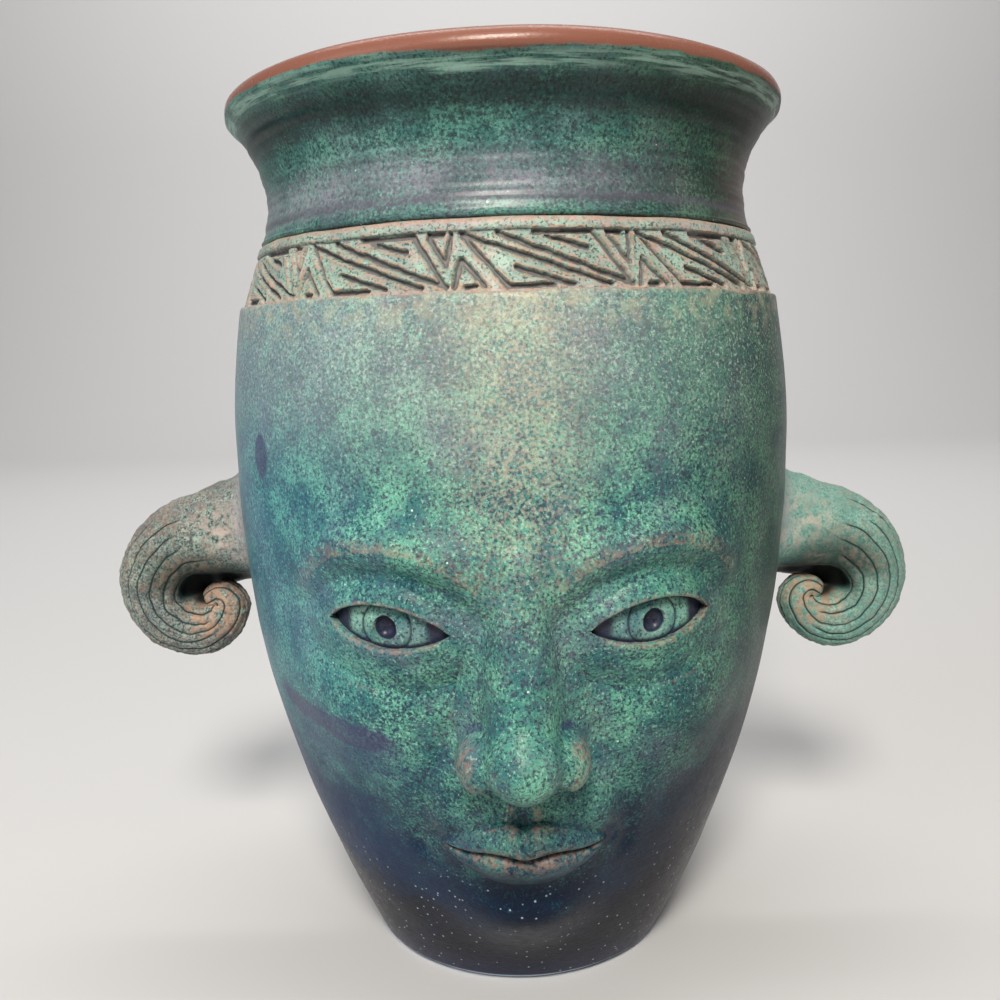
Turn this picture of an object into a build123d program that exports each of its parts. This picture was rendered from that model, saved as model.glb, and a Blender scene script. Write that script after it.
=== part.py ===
from build123d import *
from math import atan2, cos, degrees, exp, hypot, pi, radians, sin, sqrt
import os

os.makedirs("parts", exist_ok=True)

# A stoneware face vase, in millimetres. The origin is the centre of the foot,
# +Z is up and the face looks along -Y. Left and right are the viewer's.

# Thrown wall
height = 290.0
foot_radius = 55.0
belly_radius = 96.4
belly_z = 175.0
wall = 7.0
floor_thickness = 9.0
shoulder_drop = 4.4
lower_swell_power = 2.05
upper_swell_power = 2.2

# Carved band round the brow, with its fret of straight strokes
band_height = 20.0
band_step = 1.5
bead_radius = 1.2
stroke_width = 1.5
stroke_depth = 1.5
fret_repeats = 11
fret_start_angle = -15.0

# Flared collar and its lip
collar_height = 44.0
collar_wall = 6.0
neck_radius = 81.0
neck_rise = 13.0
flare_radius = 34.0
lip_height = 5.5
seam_round = 1.2

# Face, on thirds from hairline to chin and on fifths across
hairline_drop = 4.0
chin_z = 22.0
eye_width = 38.0
eye_drop = 20.0
upper_opening = 7.0
lower_opening = 6.0
corner_tilt = 1.0
eyeball_radius = 20.0
eyeball_reach = 29.0
eyeball_stand = 5.5
pupil_radius = 3.6
upper_lid_thickness = 4.4
lower_lid_thickness = 2.6
lid_margin = 4.0
nose_width = 37.0
nose_stand = 25.0
nose_root_drop = 5.0
wing_radius = 8.0
nostril_radius = 3.4
nostril_depth = 7.0
mouth_width = 58.0
upper_lip_height = 11.0
lower_lip_height = 14.0
upper_lip_stand = 6.5
lower_lip_stand = 7.5
brow_relief = 4.5
socket_relief = -3.0
cheek_relief = 5.0
muzzle_relief = 8.0
chin_relief = 8.5
lip_hollow_relief = -2.0

# Ears, each a tapered coil of clay that curls back under itself
left_curl_z = 123.5
right_curl_z = 121.0
curl_reach = 20.5
curl_start_angle = 93.0
curl_turn = 256.0
coil_start_radius = 21.2
coil_tip_radius = 9.2
ear_thickness = 17.5
ear_tip_thickness = 6.8
ear_root_flare = 8.5
ear_root_length = 30.0
ear_flatness = 0.84

# How finely the free forms are drawn, and one overrun for every cut
wall_sections = 27
wall_points = 40
cavity_points = 9
ear_sections = 8
root_sections = 4
lip_sections = 11
overrun = 12.0

# Slip left between two pieces of clay that are luted together
slip = 0.1

# Heights and radii that follow from the sizes above
collar_z = height - collar_height
shoulder_z = collar_z - band_height
neck_z = collar_z + neck_rise
hairline_z = shoulder_z - hairline_drop
face_third = (hairline_z - chin_z) / 3
brow_z = hairline_z - face_third
eye_z = brow_z - eye_drop
nose_base_z = chin_z + face_third
nose_root_z = brow_z - nose_root_drop
mouth_z = nose_base_z - face_third / 3
shoulder_radius = belly_radius - shoulder_drop
flare_centre_radius = neck_radius + flare_radius
collar_foot_radius = flare_centre_radius - sqrt(flare_radius ** 2 - neck_rise ** 2)
band_foot_radius = shoulder_radius - band_step


def wall_radius(z):
    """Outer radius of the thrown wall at height z, without the face."""
    if z < belly_z:
        fall = (belly_z - z) / belly_z
        return belly_radius - (belly_radius - foot_radius) * fall ** lower_swell_power
    rise = (z - belly_z) / (shoulder_z - belly_z)
    return belly_radius - shoulder_drop * rise ** upper_swell_power


# Broad forms of the face: place across, height, half width, half height and
# relief. A form beside the midline is written once and stands on both sides.
face_forms = [
    (0.0, mouth_z + upper_lip_height / 2, nose_width * 0.9, face_third / 3, muzzle_relief),
    (0.0, chin_z + face_third / 4, eye_width * 0.65, face_third / 4.5, chin_relief),
    (0.0, mouth_z - lower_lip_height * 1.3, eye_width / 2, lower_lip_height * 0.7, lip_hollow_relief),
    (0.0, brow_z - eye_drop / 4, eye_width / 2, face_third / 4, brow_relief / 2),
    (eye_width * 0.85, brow_z, eye_width * 0.85, eye_drop / 2, brow_relief),
    (eye_width, eye_z, eye_width * 0.6, eye_drop * 0.75, socket_relief),
    (eye_width * 1.4, eye_z - eye_drop * 1.4, eye_width * 0.7, eye_drop, cheek_relief),
]


def skin_radius(angle, z):
    """Outer radius with the face's relief, at an angle in radians from the front."""
    across = abs(angle) * belly_radius
    radius = wall_radius(z)
    for centre, centre_z, half_width, half_height, relief in face_forms:
        sideways = (across - centre) / half_width
        upwards = (z - centre_z) / half_height
        radius += relief * exp(-sideways ** 2 - upwards ** 2)
    return radius


def around(angle, radius, z):
    """Point at an angle in radians from the front, measured towards +X."""
    return (radius * sin(angle), -radius * cos(angle), z)


def facing_plane(angle, radius, z):
    """Plane that looks straight out of the vase, with its X along the wall."""
    return Plane(
        origin=around(angle, radius, z),
        x_dir=(cos(angle), sin(angle), 0),
        z_dir=(sin(angle), -cos(angle), 0),
    )


def finish(piece, name):
    """Name a finished piece and write it out."""
    piece.part.label = name
    export_step(piece.part, f"parts/{name}.step")


def wall_ring(z, clearance):
    """Points round the wall at height z, closer together across the face."""
    points = []
    for step in range(wall_points):
        turn = 2 * pi * step / wall_points - pi
        angle = turn - sin(turn) / 2
        points.append(around(angle, skin_radius(angle, z) + clearance, z)[:2])
    return points


# Outer form of the wall with the face raised on it, still solid inside
with BuildPart() as outer_form:
    for level in range(wall_sections):
        z = shoulder_z * level / (wall_sections - 1)
        with BuildSketch(Plane.XY.offset(z)):
            with BuildLine():
                Spline(*wall_ring(z, 0), periodic=True)
            make_face()
    loft()

# The same form with room for slip, which trims the backs of the added pieces
with BuildPart() as seat_form:
    for level in range(wall_sections):
        z = shoulder_z * level / (wall_sections - 1)
        with BuildSketch(Plane.XY.offset(z)):
            with BuildLine():
                Spline(*wall_ring(z, slip), periodic=True)
            make_face()
    loft()

# Thrown body, hollow from its floor to the band
with BuildPart() as thrown_body:
    add(outer_form.part)
    with BuildSketch(Plane.XZ):
        with BuildLine():
            inner_wall = []
            for step in range(cavity_points):
                z = floor_thickness + (shoulder_z - floor_thickness) * step / (cavity_points - 1)
                inner_wall.append((wall_radius(z) - wall, z))
            Spline(*inner_wall)
            Polyline(
                inner_wall[-1],
                (inner_wall[-1][0], shoulder_z + overrun),
                (0, shoulder_z + overrun),
                (0, floor_thickness),
                inner_wall[0],
            )
        make_face()
    revolve(axis=Axis.Z, mode=Mode.SUBTRACT)
finish(thrown_body, "thrown_body")

# Fret strokes of one repeat: start and end as shares of the repeat's length
# and of the band's height. Long strokes run on into the next repeat.
fret_stroke_shares = [
    ((0.000, 0.93), (0.090, 0.93)),
    ((0.000, 0.93), (0.116, 0.43)),
    ((0.140, 0.93), (0.116, 0.43)),
    ((0.200, 0.50), (0.167, 0.07)),
    ((0.200, 0.50), (0.326, 0.07)),
    ((0.225, 0.07), (0.279, 0.07)),
    ((0.194, 0.93), (0.442, 0.07)),
    ((0.442, 0.07), (0.682, 0.07)),
    ((0.194, 0.93), (0.992, 0.07)),
    ((0.388, 0.93), (1.124, 0.07)),
    ((0.589, 0.93), (0.915, 0.93)),
    ((0.915, 0.93), (1.116, 0.07)),
    ((0.659, 0.87), (0.884, 0.66)),
    ((0.488, 0.36), (0.790, 0.07)),
]
fret_height = band_height - 2 * bead_radius - seam_round
repeat_angle = 2 * pi / fret_repeats


def band_radius(z):
    """Outer radius of the band, which leans in towards the collar."""
    rise = (z - shoulder_z) / band_height
    return band_foot_radius + (collar_foot_radius - band_foot_radius) * rise


# The strokes of one repeat as cutters, whose floor lies one depth under the band
with BuildPart() as fret:
    for start, end in fret_stroke_shares:
        start_angle = radians(fret_start_angle) + start[0] * repeat_angle
        end_angle = radians(fret_start_angle) + end[0] * repeat_angle
        start_z = shoulder_z + fret_height * start[1]
        end_z = shoulder_z + fret_height * end[1]
        middle_z = (start_z + end_z) / 2
        radius = band_radius(middle_z)
        half_angle = (end_angle - start_angle) / 2
        run = 2 * radius * sin(half_angle)
        climb = end_z - start_z
        slope = degrees(atan2(climb, run))
        with BuildSketch(facing_plane(start_angle + half_angle, radius, middle_z)):
            Rectangle(hypot(run, climb) + stroke_width, stroke_width, rotation=slope)
    extrude(amount=overrun, both=True)
    with BuildSketch(Plane.XZ):
        with BuildLine():
            Polyline(
                (band_foot_radius - stroke_depth, shoulder_z),
                (band_foot_radius + overrun, shoulder_z),
                (collar_foot_radius + overrun, collar_z),
                (collar_foot_radius - stroke_depth, collar_z),
                close=True,
            )
        make_face()
    revolve(axis=Axis.Z, mode=Mode.INTERSECT)

# Carved band: a leaning ring with the fret cut all round and a bead at its top
with BuildPart() as carved_band:
    with BuildSketch(Plane.XZ):
        with BuildLine():
            Polyline(
                (shoulder_radius - wall, shoulder_z),
                (band_foot_radius, shoulder_z),
                (collar_foot_radius, collar_z),
                (collar_foot_radius - collar_wall, collar_z),
                close=True,
            )
        make_face()
    revolve(axis=Axis.Z)
    with PolarLocations(0, fret_repeats):
        add(fret.part, mode=Mode.SUBTRACT)
    bead_z = collar_z - seam_round - bead_radius
    with BuildSketch(Plane.XZ):
        with Locations((band_radius(bead_z), bead_z)):
            Circle(bead_radius)
    revolve(axis=Axis.Z)
finish(carved_band, "carved_band")

# Flared collar: two arcs about one centre outside the neck, joined by the lip
rim_low_z = height - lip_height
rim_rise = rim_low_z - neck_z
rim_radius = flare_centre_radius - sqrt(flare_radius ** 2 - rim_rise ** 2)
inner_flare_radius = flare_radius + collar_wall
inner_rim_radius = flare_centre_radius - sqrt(inner_flare_radius ** 2 - rim_rise ** 2)
inner_foot_radius = collar_foot_radius - collar_wall
with BuildPart() as flared_collar:
    with BuildSketch(Plane.XZ):
        with BuildLine():
            ThreePointArc((collar_foot_radius, collar_z), (neck_radius, neck_z), (rim_radius, rim_low_z))
            ThreePointArc(
                (rim_radius, rim_low_z),
                ((rim_radius + inner_rim_radius) / 2, height),
                (inner_rim_radius, rim_low_z),
            )
            Spline(
                (inner_rim_radius, rim_low_z),
                (neck_radius - collar_wall, neck_z),
                (inner_foot_radius, collar_z),
            )
            Line((inner_foot_radius, collar_z), (collar_foot_radius, collar_z))
        make_face()
    revolve(axis=Axis.Z)
    fillet(flared_collar.edges().filter_by(GeomType.CIRCLE).group_by(Axis.Z)[0].sort_by(SortBy.RADIUS)[-1], seam_round)
finish(flared_collar, "flared_collar")


def slice_plane(place, direction):
    """Plane of a slice through an ear, square to the way its coil runs."""
    return Plane(origin=place, x_dir=(0, 1, 0), z_dir=direction)


# How far the slices that round an ear's tip stand out, as shares of its thickness
tip_stand_shares = [0.4, 0.7, 0.9, 0.98]

# Ears: a flared root out of the wall, then the coil, ended by a round tip
for name, side, curl_z in (("left_ear", -1, left_curl_z), ("right_ear", 1, right_curl_z)):
    curl_x = belly_radius + curl_reach
    with BuildPart() as ear:
        for step in range(root_sections):
            share = step / root_sections
            place = (side * (curl_x - ear_root_length * (1 - share)), 0, curl_z + coil_start_radius)
            thickness = ear_thickness + ear_root_flare * (1 - share) ** 2
            with BuildSketch(slice_plane(place, (side, 0, 0))):
                Ellipse(thickness * ear_flatness, thickness)
        for step in range(ear_sections):
            share = step / (ear_sections - 1)
            angle = radians(curl_start_angle + curl_turn * share)
            coil = coil_start_radius + (coil_tip_radius - coil_start_radius) * share
            thickness = ear_thickness + (ear_tip_thickness - ear_thickness) * share
            flatness = ear_flatness + (1 - ear_flatness) * share
            place = (side * (curl_x - coil * cos(angle)), 0, curl_z + coil * sin(angle))
            coil_plane = slice_plane(place, (side * sin(angle), 0, cos(angle)))
            with BuildSketch(coil_plane):
                Ellipse(thickness * flatness, thickness)
        for stand_share in tip_stand_shares:
            with BuildSketch(coil_plane.offset(ear_tip_thickness * stand_share)):
                Circle(ear_tip_thickness * sqrt(1 - stand_share ** 2))
        loft()
        add(seat_form.part, mode=Mode.SUBTRACT)
    finish(ear, name)


def pressed_outline(reach, radius):
    """Half outline of a ball of clay pressed long between the eye's corners."""
    EllipticalCenterArc((0, 0), reach, radius, arc_size=180)
    Line((-reach, 0), (reach, 0))


# Eyeballs and lids. The lids are shells over the eyeball, open in an almond.
for name, side in (("left", -1), ("right", 1)):
    eye_angle = side * eye_width / belly_radius
    eye_radius = skin_radius(eye_angle, eye_z) + eyeball_stand
    eye_plane = facing_plane(eye_angle, eye_radius - eyeball_radius, eye_z)
    corner_axis = Axis(eye_plane.origin, eye_plane.x_dir)

    with BuildPart() as eyeball:
        with BuildSketch(eye_plane):
            with BuildLine():
                pressed_outline(eyeball_reach, eyeball_radius)
            make_face()
        revolve(axis=corner_axis)
        with Locations(eye_plane.offset(eyeball_radius)):
            Sphere(pupil_radius, mode=Mode.SUBTRACT)
        add(seat_form.part, mode=Mode.SUBTRACT)
    finish(eyeball, f"{name}_eyeball")

    for lid_name, up, opening, thickness in (
        ("upper_lid", 1, upper_opening, upper_lid_thickness),
        ("lower_lid", -1, lower_opening, lower_lid_thickness),
    ):
        lid_reach = eyeball_reach + lid_margin
        lid_radius = eyeball_radius + thickness
        parting = up * slip / 2
        near_corner = (-side * lid_reach, parting - corner_tilt)
        far_corner = (side * lid_reach, parting + corner_tilt)
        inner_corner = (-side * eye_width / 2, parting - corner_tilt)
        outer_corner = (side * eye_width / 2, parting + corner_tilt)
        with BuildPart() as lid:
            with BuildSketch(eye_plane):
                with BuildLine():
                    pressed_outline(lid_reach, lid_radius)
                make_face()
            revolve(axis=corner_axis)
            with BuildSketch(eye_plane):
                with BuildLine():
                    pressed_outline(eyeball_reach + slip, eyeball_radius + slip)
                make_face()
            revolve(axis=corner_axis, mode=Mode.SUBTRACT)
            with BuildSketch(eye_plane):
                with BuildLine():
                    Line(near_corner, inner_corner)
                    ThreePointArc(inner_corner, (0, up * opening), outer_corner)
                    Line(outer_corner, far_corner)
                    Polyline(
                        far_corner,
                        (side * lid_reach, up * lid_radius),
                        (-side * lid_reach, up * lid_radius),
                        near_corner,
                    )
                make_face()
            extrude(amount=lid_radius, mode=Mode.INTERSECT)
            add(seat_form.part, mode=Mode.SUBTRACT)
        finish(lid, f"{name}_{lid_name}")

# Nose: slices from root to base, as shares of its length, half width and stand
nose_slice_shares = [
    (0.00, 0.44, -0.06),
    (0.12, 0.42, 0.12),
    (0.30, 0.44, 0.34),
    (0.50, 0.50, 0.57),
    (0.68, 0.62, 0.80),
    (0.82, 0.76, 0.98),
    (0.92, 0.78, 0.98),
    (1.00, 0.56, 0.68),
]
with BuildPart() as nose:
    for down_share, width_share, stand_share in nose_slice_shares:
        z = nose_root_z + (nose_base_z - nose_root_z) * down_share
        half_width = nose_width / 2 * width_share
        skin = skin_radius(0, z)
        stand = nose_stand * stand_share
        with BuildSketch(Plane.XY.offset(z)):
            with BuildLine():
                Spline(
                    (-half_width, -skin + wall / 2),
                    (-half_width * 0.7, -skin - stand * 0.62),
                    (0, -skin - stand),
                    (half_width * 0.7, -skin - stand * 0.62),
                    (half_width, -skin + wall / 2),
                )
                Line((half_width, -skin + wall / 2), (-half_width, -skin + wall / 2))
            make_face()
    loft()
    wing_z = nose_base_z + wing_radius
    wing_x = nose_width / 2 - wing_radius
    wing_y = -skin_radius(0, wing_z) - wing_radius / 2
    with Locations((-wing_x, wing_y, wing_z), (wing_x, wing_y, wing_z)):
        Sphere(wing_radius)
    nostril_y = wing_y - wing_radius / 4
    with BuildSketch(Plane.XY.offset(nose_base_z)):
        with Locations((-wing_x, nostril_y), (wing_x, nostril_y)):
            Circle(nostril_radius)
    extrude(amount=nostril_depth, mode=Mode.SUBTRACT)
    add(seat_form.part, mode=Mode.SUBTRACT)
finish(nose, "nose")


def lip_slice(step, lip_height, lip_stand, up):
    """Plane, stand and half height of one slice of a lip, from corner to corner."""
    turn = pi * (step + 0.5) / lip_sections
    fullness = sin(turn)
    angle = -cos(turn) * mouth_width / 2 / belly_radius
    half_height = lip_height / 2 * fullness
    centre_z = mouth_z + up * (half_height + slip / 2)
    plane = facing_plane(angle, skin_radius(angle, centre_z), centre_z)
    across = Plane(origin=plane.origin, x_dir=plane.z_dir, z_dir=plane.x_dir)
    return across, lip_stand * fullness, half_height


# Lips: each is lofted along the mouth, and the two part at the mouth's line
with BuildPart() as upper_lip:
    for step in range(lip_sections):
        across, stand, half_height = lip_slice(step, upper_lip_height, upper_lip_stand, 1)
        with BuildSketch(across):
            Ellipse(stand, half_height)
    loft()
    add(seat_form.part, mode=Mode.SUBTRACT)
finish(upper_lip, "upper_lip")

with BuildPart() as lower_lip:
    for step in range(lip_sections):
        across, stand, half_height = lip_slice(step, lower_lip_height, lower_lip_stand, -1)
        with BuildSketch(across):
            Ellipse(stand, half_height)
    loft()
    add(seat_form.part, mode=Mode.SUBTRACT)
    finish(lower_lip, "lower_lip")
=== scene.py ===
"""Looks of the stoneware face vase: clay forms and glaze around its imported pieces.

Shapes are worked out in millimetres, in the part's own frame, and made in metres.
Left and right are the viewer's. The face looks along -Y.
"""
from math import asin, cos, degrees, pi, radians, sin, sqrt, tau
import bpy
import numpy as np
from mathutils import Matrix, Vector, noise


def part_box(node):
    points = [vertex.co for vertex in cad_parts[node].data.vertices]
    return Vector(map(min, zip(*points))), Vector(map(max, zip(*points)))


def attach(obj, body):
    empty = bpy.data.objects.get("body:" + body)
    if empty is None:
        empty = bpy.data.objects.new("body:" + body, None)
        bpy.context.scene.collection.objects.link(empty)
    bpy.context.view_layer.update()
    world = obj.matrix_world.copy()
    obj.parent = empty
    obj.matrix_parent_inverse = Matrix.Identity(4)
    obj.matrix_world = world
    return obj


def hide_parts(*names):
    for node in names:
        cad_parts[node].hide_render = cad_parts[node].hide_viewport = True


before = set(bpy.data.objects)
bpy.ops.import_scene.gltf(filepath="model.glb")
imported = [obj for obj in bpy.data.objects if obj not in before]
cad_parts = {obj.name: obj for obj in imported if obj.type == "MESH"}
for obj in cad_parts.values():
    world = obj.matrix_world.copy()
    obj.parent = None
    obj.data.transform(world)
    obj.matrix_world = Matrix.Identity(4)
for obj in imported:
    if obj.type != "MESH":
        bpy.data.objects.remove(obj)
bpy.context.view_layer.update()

MM = 0.001

# Sizes of the pot, the same as its solids have
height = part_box("flared_collar")[1].z / MM
foot_radius = 55.0
belly_radius = 96.4
belly_z = 175.0
wall = 7.0
floor_thickness = 9.0
shoulder_drop = 4.4
lower_swell_power = 2.05
upper_swell_power = 2.2
band_height = 20.0
band_step = 1.5
bead_radius = 1.2
stroke_width = 1.5
stroke_depth = 1.5
fret_repeats = 11
fret_start_angle = -15.0
collar_height = 44.0
collar_wall = 6.0
neck_radius = 81.0
neck_rise = 13.0
flare_radius = 34.0
lip_height = 5.5
seam_round = 1.2

# Sizes of the face
hairline_drop = 4.0
chin_z = 22.0
eye_width = 38.0
eye_drop = 20.0
upper_opening = 7.0
lower_opening = 6.0
corner_tilt = 1.0
eyeball_radius = 20.0
eyeball_reach = 29.0
eyeball_stand = 5.5
pupil_radius = 3.6
upper_lid_thickness = 4.4
lower_lid_thickness = 2.6
lid_margin = 4.0
nose_width = 37.0
mouth_width = 58.0
upper_lip_height = 11.0
lower_lip_height = 14.0
upper_lip_stand = 6.5
lower_lip_stand = 7.5
brow_relief = 4.5
socket_relief = -3.0
cheek_relief = 5.0
muzzle_relief = 8.0
chin_relief = 8.5
lip_hollow_relief = -2.0

# Sizes of the ears
left_curl_z = 123.5
right_curl_z = 120.4
curl_reach = 18.8
curl_start_angle = 93.0
curl_turn = 256.0
coil_start_radius = 20.8
coil_tip_radius = 9.2
ear_thickness = 17.0
ear_tip_thickness = 6.8
ear_flatness = 0.84

# What follows from them
collar_z = height - collar_height
shoulder_z = collar_z - band_height
neck_z = collar_z + neck_rise
hairline_z = shoulder_z - hairline_drop
face_third = (hairline_z - chin_z) / 3
brow_z = hairline_z - face_third
eye_z = brow_z - eye_drop
nose_base_z = chin_z + face_third
mouth_z = nose_base_z - face_third / 3
eye_angle = eye_width / belly_radius
flare_centre_radius = neck_radius + flare_radius
collar_foot_radius = flare_centre_radius - sqrt(flare_radius ** 2 - neck_rise ** 2)
band_foot_radius = belly_radius - shoulder_drop - band_step

# Clay seams: how far a laid-on piece floats over the wall at its border, how far
# its skirt goes down into the wall, and how far the wall sinks under the piece
seam_float = 0.03
skirt_depth = 1.6
cover_depth = 1.8

# Unevenness of the hand: height and breadth of its broad and of its small lumps,
# and the reach from the pot's axis at which it begins and is full
broad_lump, broad_lump_size = 0.45, 48
small_lump, small_lump_size = 0.16, 17
uneven_from, uneven_full = 20, 50

# Edges that turn by more degrees than this are shaded sharp
sharp_angle = 52


def smoothstep(value, low, high):
    """0 up to low, 1 from high on, smooth between."""
    share = np.clip((value - low) / (high - low), 0, 1)
    return share * share * (3 - 2 * share)


def hump(value, middle, width):
    """1 at the middle, falling away smoothly to about a third at width from it."""
    return np.exp(-((value - middle) / width) ** 2)


def full_turn(columns):
    """Even angles all round."""
    return np.arange(columns) * tau / columns


def smooth_max(a, b, width):
    """The larger of two heights, rounded over where they cross."""
    near = np.clip(1 - np.abs(a - b) / width, 0, None)
    return np.maximum(a, b) + near * near * width / 4


def grain(points, size, seed=0):
    """Smooth noise from about -1 to 1 whose lumps are size mm across."""
    seed_shift, full_swing = np.array([17.3, 7.9, 3.1]), 1.6
    cells = np.asarray(points, float) / size + seed * seed_shift
    values = np.array([noise.noise(cell) for cell in cells.reshape(-1, 3).tolist()])
    return values.reshape(cells.shape[:-1]) * full_swing


def place(across, z, radius):
    """Points at a distance across the front, measured on the belly, and a height."""
    angle = across / belly_radius
    across, z, radius = np.broadcast_arrays(across, z, radius)
    return np.stack([radius * np.sin(angle), -radius * np.cos(angle), z], -1)


# The wall and the broad forms of the face
def wall_radius(z):
    """Outer radius of the plain wall."""
    fall = np.clip((belly_z - z) / belly_z, 0, None)
    rise = np.clip((z - belly_z) / (shoulder_z - belly_z), 0, None)
    swell = (belly_radius - foot_radius) * fall ** lower_swell_power
    return belly_radius - swell - shoulder_drop * rise ** upper_swell_power


# Place across, height, half width, half height and relief, on both sides
face_forms = [
    (0.0, mouth_z + upper_lip_height / 2, nose_width * 0.9, face_third / 3, muzzle_relief),
    (0.0, chin_z + face_third / 4, eye_width * 0.65, face_third / 4.5, chin_relief),
    (0.0, mouth_z - lower_lip_height * 1.3, eye_width / 2, lower_lip_height * 0.7, lip_hollow_relief),
    (0.0, brow_z - eye_drop / 4, eye_width / 2, face_third / 4, brow_relief / 2),
    (eye_width * 0.85, brow_z, eye_width * 0.85, eye_drop / 2, brow_relief),
    (eye_width, eye_z, eye_width * 0.6, eye_drop * 0.75, socket_relief),
    (eye_width * 1.4, eye_z - eye_drop * 1.4, eye_width * 0.7, eye_drop, cheek_relief),
]

# Finer forms, drawn as ridges (or, below zero, creases) along a curve: points
# across and up, half width, and relief. They stand on both sides too.
face_lines = [
    ([(11, brow_z - 11), (19, brow_z - 2), (36, brow_z + 4), (53, brow_z + 2), (66, brow_z - 8)], 6.0, 2.1),
    ([(22, eye_z + 12), (36, eye_z + 15), (52, eye_z + 12.5)], 3.0, -0.7),
    ([(20, eye_z - 15), (34, eye_z - 19.5), (52, eye_z - 14)], 3.6, -0.7),
    ([(22, nose_base_z + 14), (29, nose_base_z - 1), (36, mouth_z + 6), (38, mouth_z - 5)], 4.0, -1.5),
    ([(3.6, nose_base_z - 6), (4.4, mouth_z + upper_lip_height + 1)], 1.7, 0.9),
    ([(0, nose_base_z - 7), (0, mouth_z + upper_lip_height + 1)], 2.0, -0.9),
    ([(30, mouth_z + 1.5), (32, mouth_z - 2)], 2.4, -1.4),
    ([(8, mouth_z - lower_lip_height - 6), (0, mouth_z - lower_lip_height - 5)], 4.0, -0.8),
    ([(0, chin_z + 12), (0, chin_z + 3)], 1.6, -0.35),
]


def curve_distance(x, z, points):
    """Distance from each place (x, z) to a smooth curve through points."""
    steps_a_span = 7
    points = np.asarray(points, float)
    ends = np.vstack([2 * points[0] - points[1], points, 2 * points[-1] - points[-2]])
    path = []
    for before, start, end, after in zip(ends, ends[1:], ends[2:], ends[3:]):
        for t in np.linspace(0, 1, steps_a_span):
            path.append(0.5 * (2 * start + (end - before) * t
                        + (2 * before - 5 * start + 4 * end - after) * t ** 2
                        + (3 * start - before - 3 * end + after) * t ** 3))
    best = np.full(np.shape(x), np.inf)
    for start, end in zip(path, path[1:]):
        run = end - start
        share = np.clip(((x - start[0]) * run[0] + (z - start[1]) * run[1]) / (run @ run + 1e-9), 0, 1)
        best = np.minimum(best, np.hypot(x - start[0] - share * run[0], z - start[1] - share * run[1]))
    return best


def form_radius(across, z):
    """Outer radius of the wall with the broad forms of the face."""
    radius = wall_radius(z)
    for centre, centre_z, half_width, half_height, relief in face_forms:
        sideways = (np.abs(across) - centre) / half_width
        upwards = (z - centre_z) / half_height
        radius = radius + relief * np.exp(-sideways ** 2 - upwards ** 2)
    return radius


def skin_radius(across, z):
    """Outer radius of the wall with all of the face but the laid-on pieces."""
    radius = form_radius(across, z)
    for points, half_width, relief in face_lines:
        off = curve_distance(np.abs(across), z, points)
        radius = radius + relief * hump(off, 0, half_width)
    return radius


def hand_thrown(points):
    """Small unevenness of the hand, the same for every piece at the same place."""
    uneven = broad_lump * grain(points, broad_lump_size, 1) + small_lump * grain(points, small_lump_size, 2)
    reach = np.hypot(points[..., 0], points[..., 1])
    push = 1 + uneven * smoothstep(reach, uneven_from, uneven_full) / np.maximum(reach, 1)
    moved = points.copy()
    moved[..., 0] *= push
    moved[..., 1] *= push
    return moved


# Meshes
def grid_faces(rows, columns, wrap_rows=False, wrap_columns=False):
    """Four-sided faces between the points of a grid, counted row by row."""
    r = np.arange(rows if wrap_rows else rows - 1)[:, None]
    c = np.arange(columns if wrap_columns else columns - 1)[None, :]
    below, beside = (r + 1) % rows, (c + 1) % columns
    quads = [r * columns + c, r * columns + beside, below * columns + beside, below * columns + c]
    return np.stack(np.broadcast_arrays(*quads), -1).reshape(-1, 4).tolist()


def add_piece(name, points, faces, material, spread=1.0, marks=None, hidden=0, inner=None, calm=None):
    """A closed mesh that replaces the named node, with its glaze marks.

    spread is how many mm round about a point is compared with to tell a raised
    edge from a hollow, and hidden how many of the last points lie inside the clay.
    The others are shares from 0 to 1, point by point: marks of what is cut or
    pooled, inner of what lies inside the pot or an ear's hollow, and calm of how
    far raised edges and hollows are left unmarked.
    """
    points = hand_thrown(np.asarray(points, float).reshape(-1, 3))
    mesh = bpy.data.meshes.new(f"{name}_clay")
    mesh.from_pydata((points * MM).tolist(), [], faces)
    mesh.validate()
    mesh.update()
    piece = bpy.data.objects.new(mesh.name, mesh)
    bpy.context.scene.collection.objects.link(piece)
    outward(mesh)
    mesh.shade_smooth()
    mesh.set_sharp_from_angle(angle=radians(sharp_angle))
    proud = proudness(mesh, spread, hidden)
    if calm is not None:
        proud[:np.size(calm)] *= 1 - np.ravel(calm)
    for mark, given in (("proud", proud), ("cut", marks), ("inner", inner)):
        values = np.zeros(len(mesh.vertices), np.float32)
        if given is not None:
            values[:np.size(given)] = np.ravel(given)
        mesh.attributes.new(mark, "FLOAT", "POINT").data.foreach_set("value", values)
    mesh.materials.append(material)
    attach(piece, "root")
    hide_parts(name)


def read(items, name, width, kind=float):
    """A value of width numbers from every item of a mesh."""
    values = np.zeros(len(items) * width, kind)
    items.foreach_get(name, values)
    return values.reshape(-1, width)


def outward(mesh):
    """Turn every face outwards, told by the sign of the volume inside."""
    mesh.calc_loop_triangles()
    corners = read(mesh.loop_triangles, "vertices", 3, np.int32)
    a, b, c = read(mesh.vertices, "co", 3)[corners].transpose(1, 0, 2)
    if np.einsum("ij,ij->i", a, np.cross(b, c)).sum() < 0:
        mesh.flip_normals()


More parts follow.
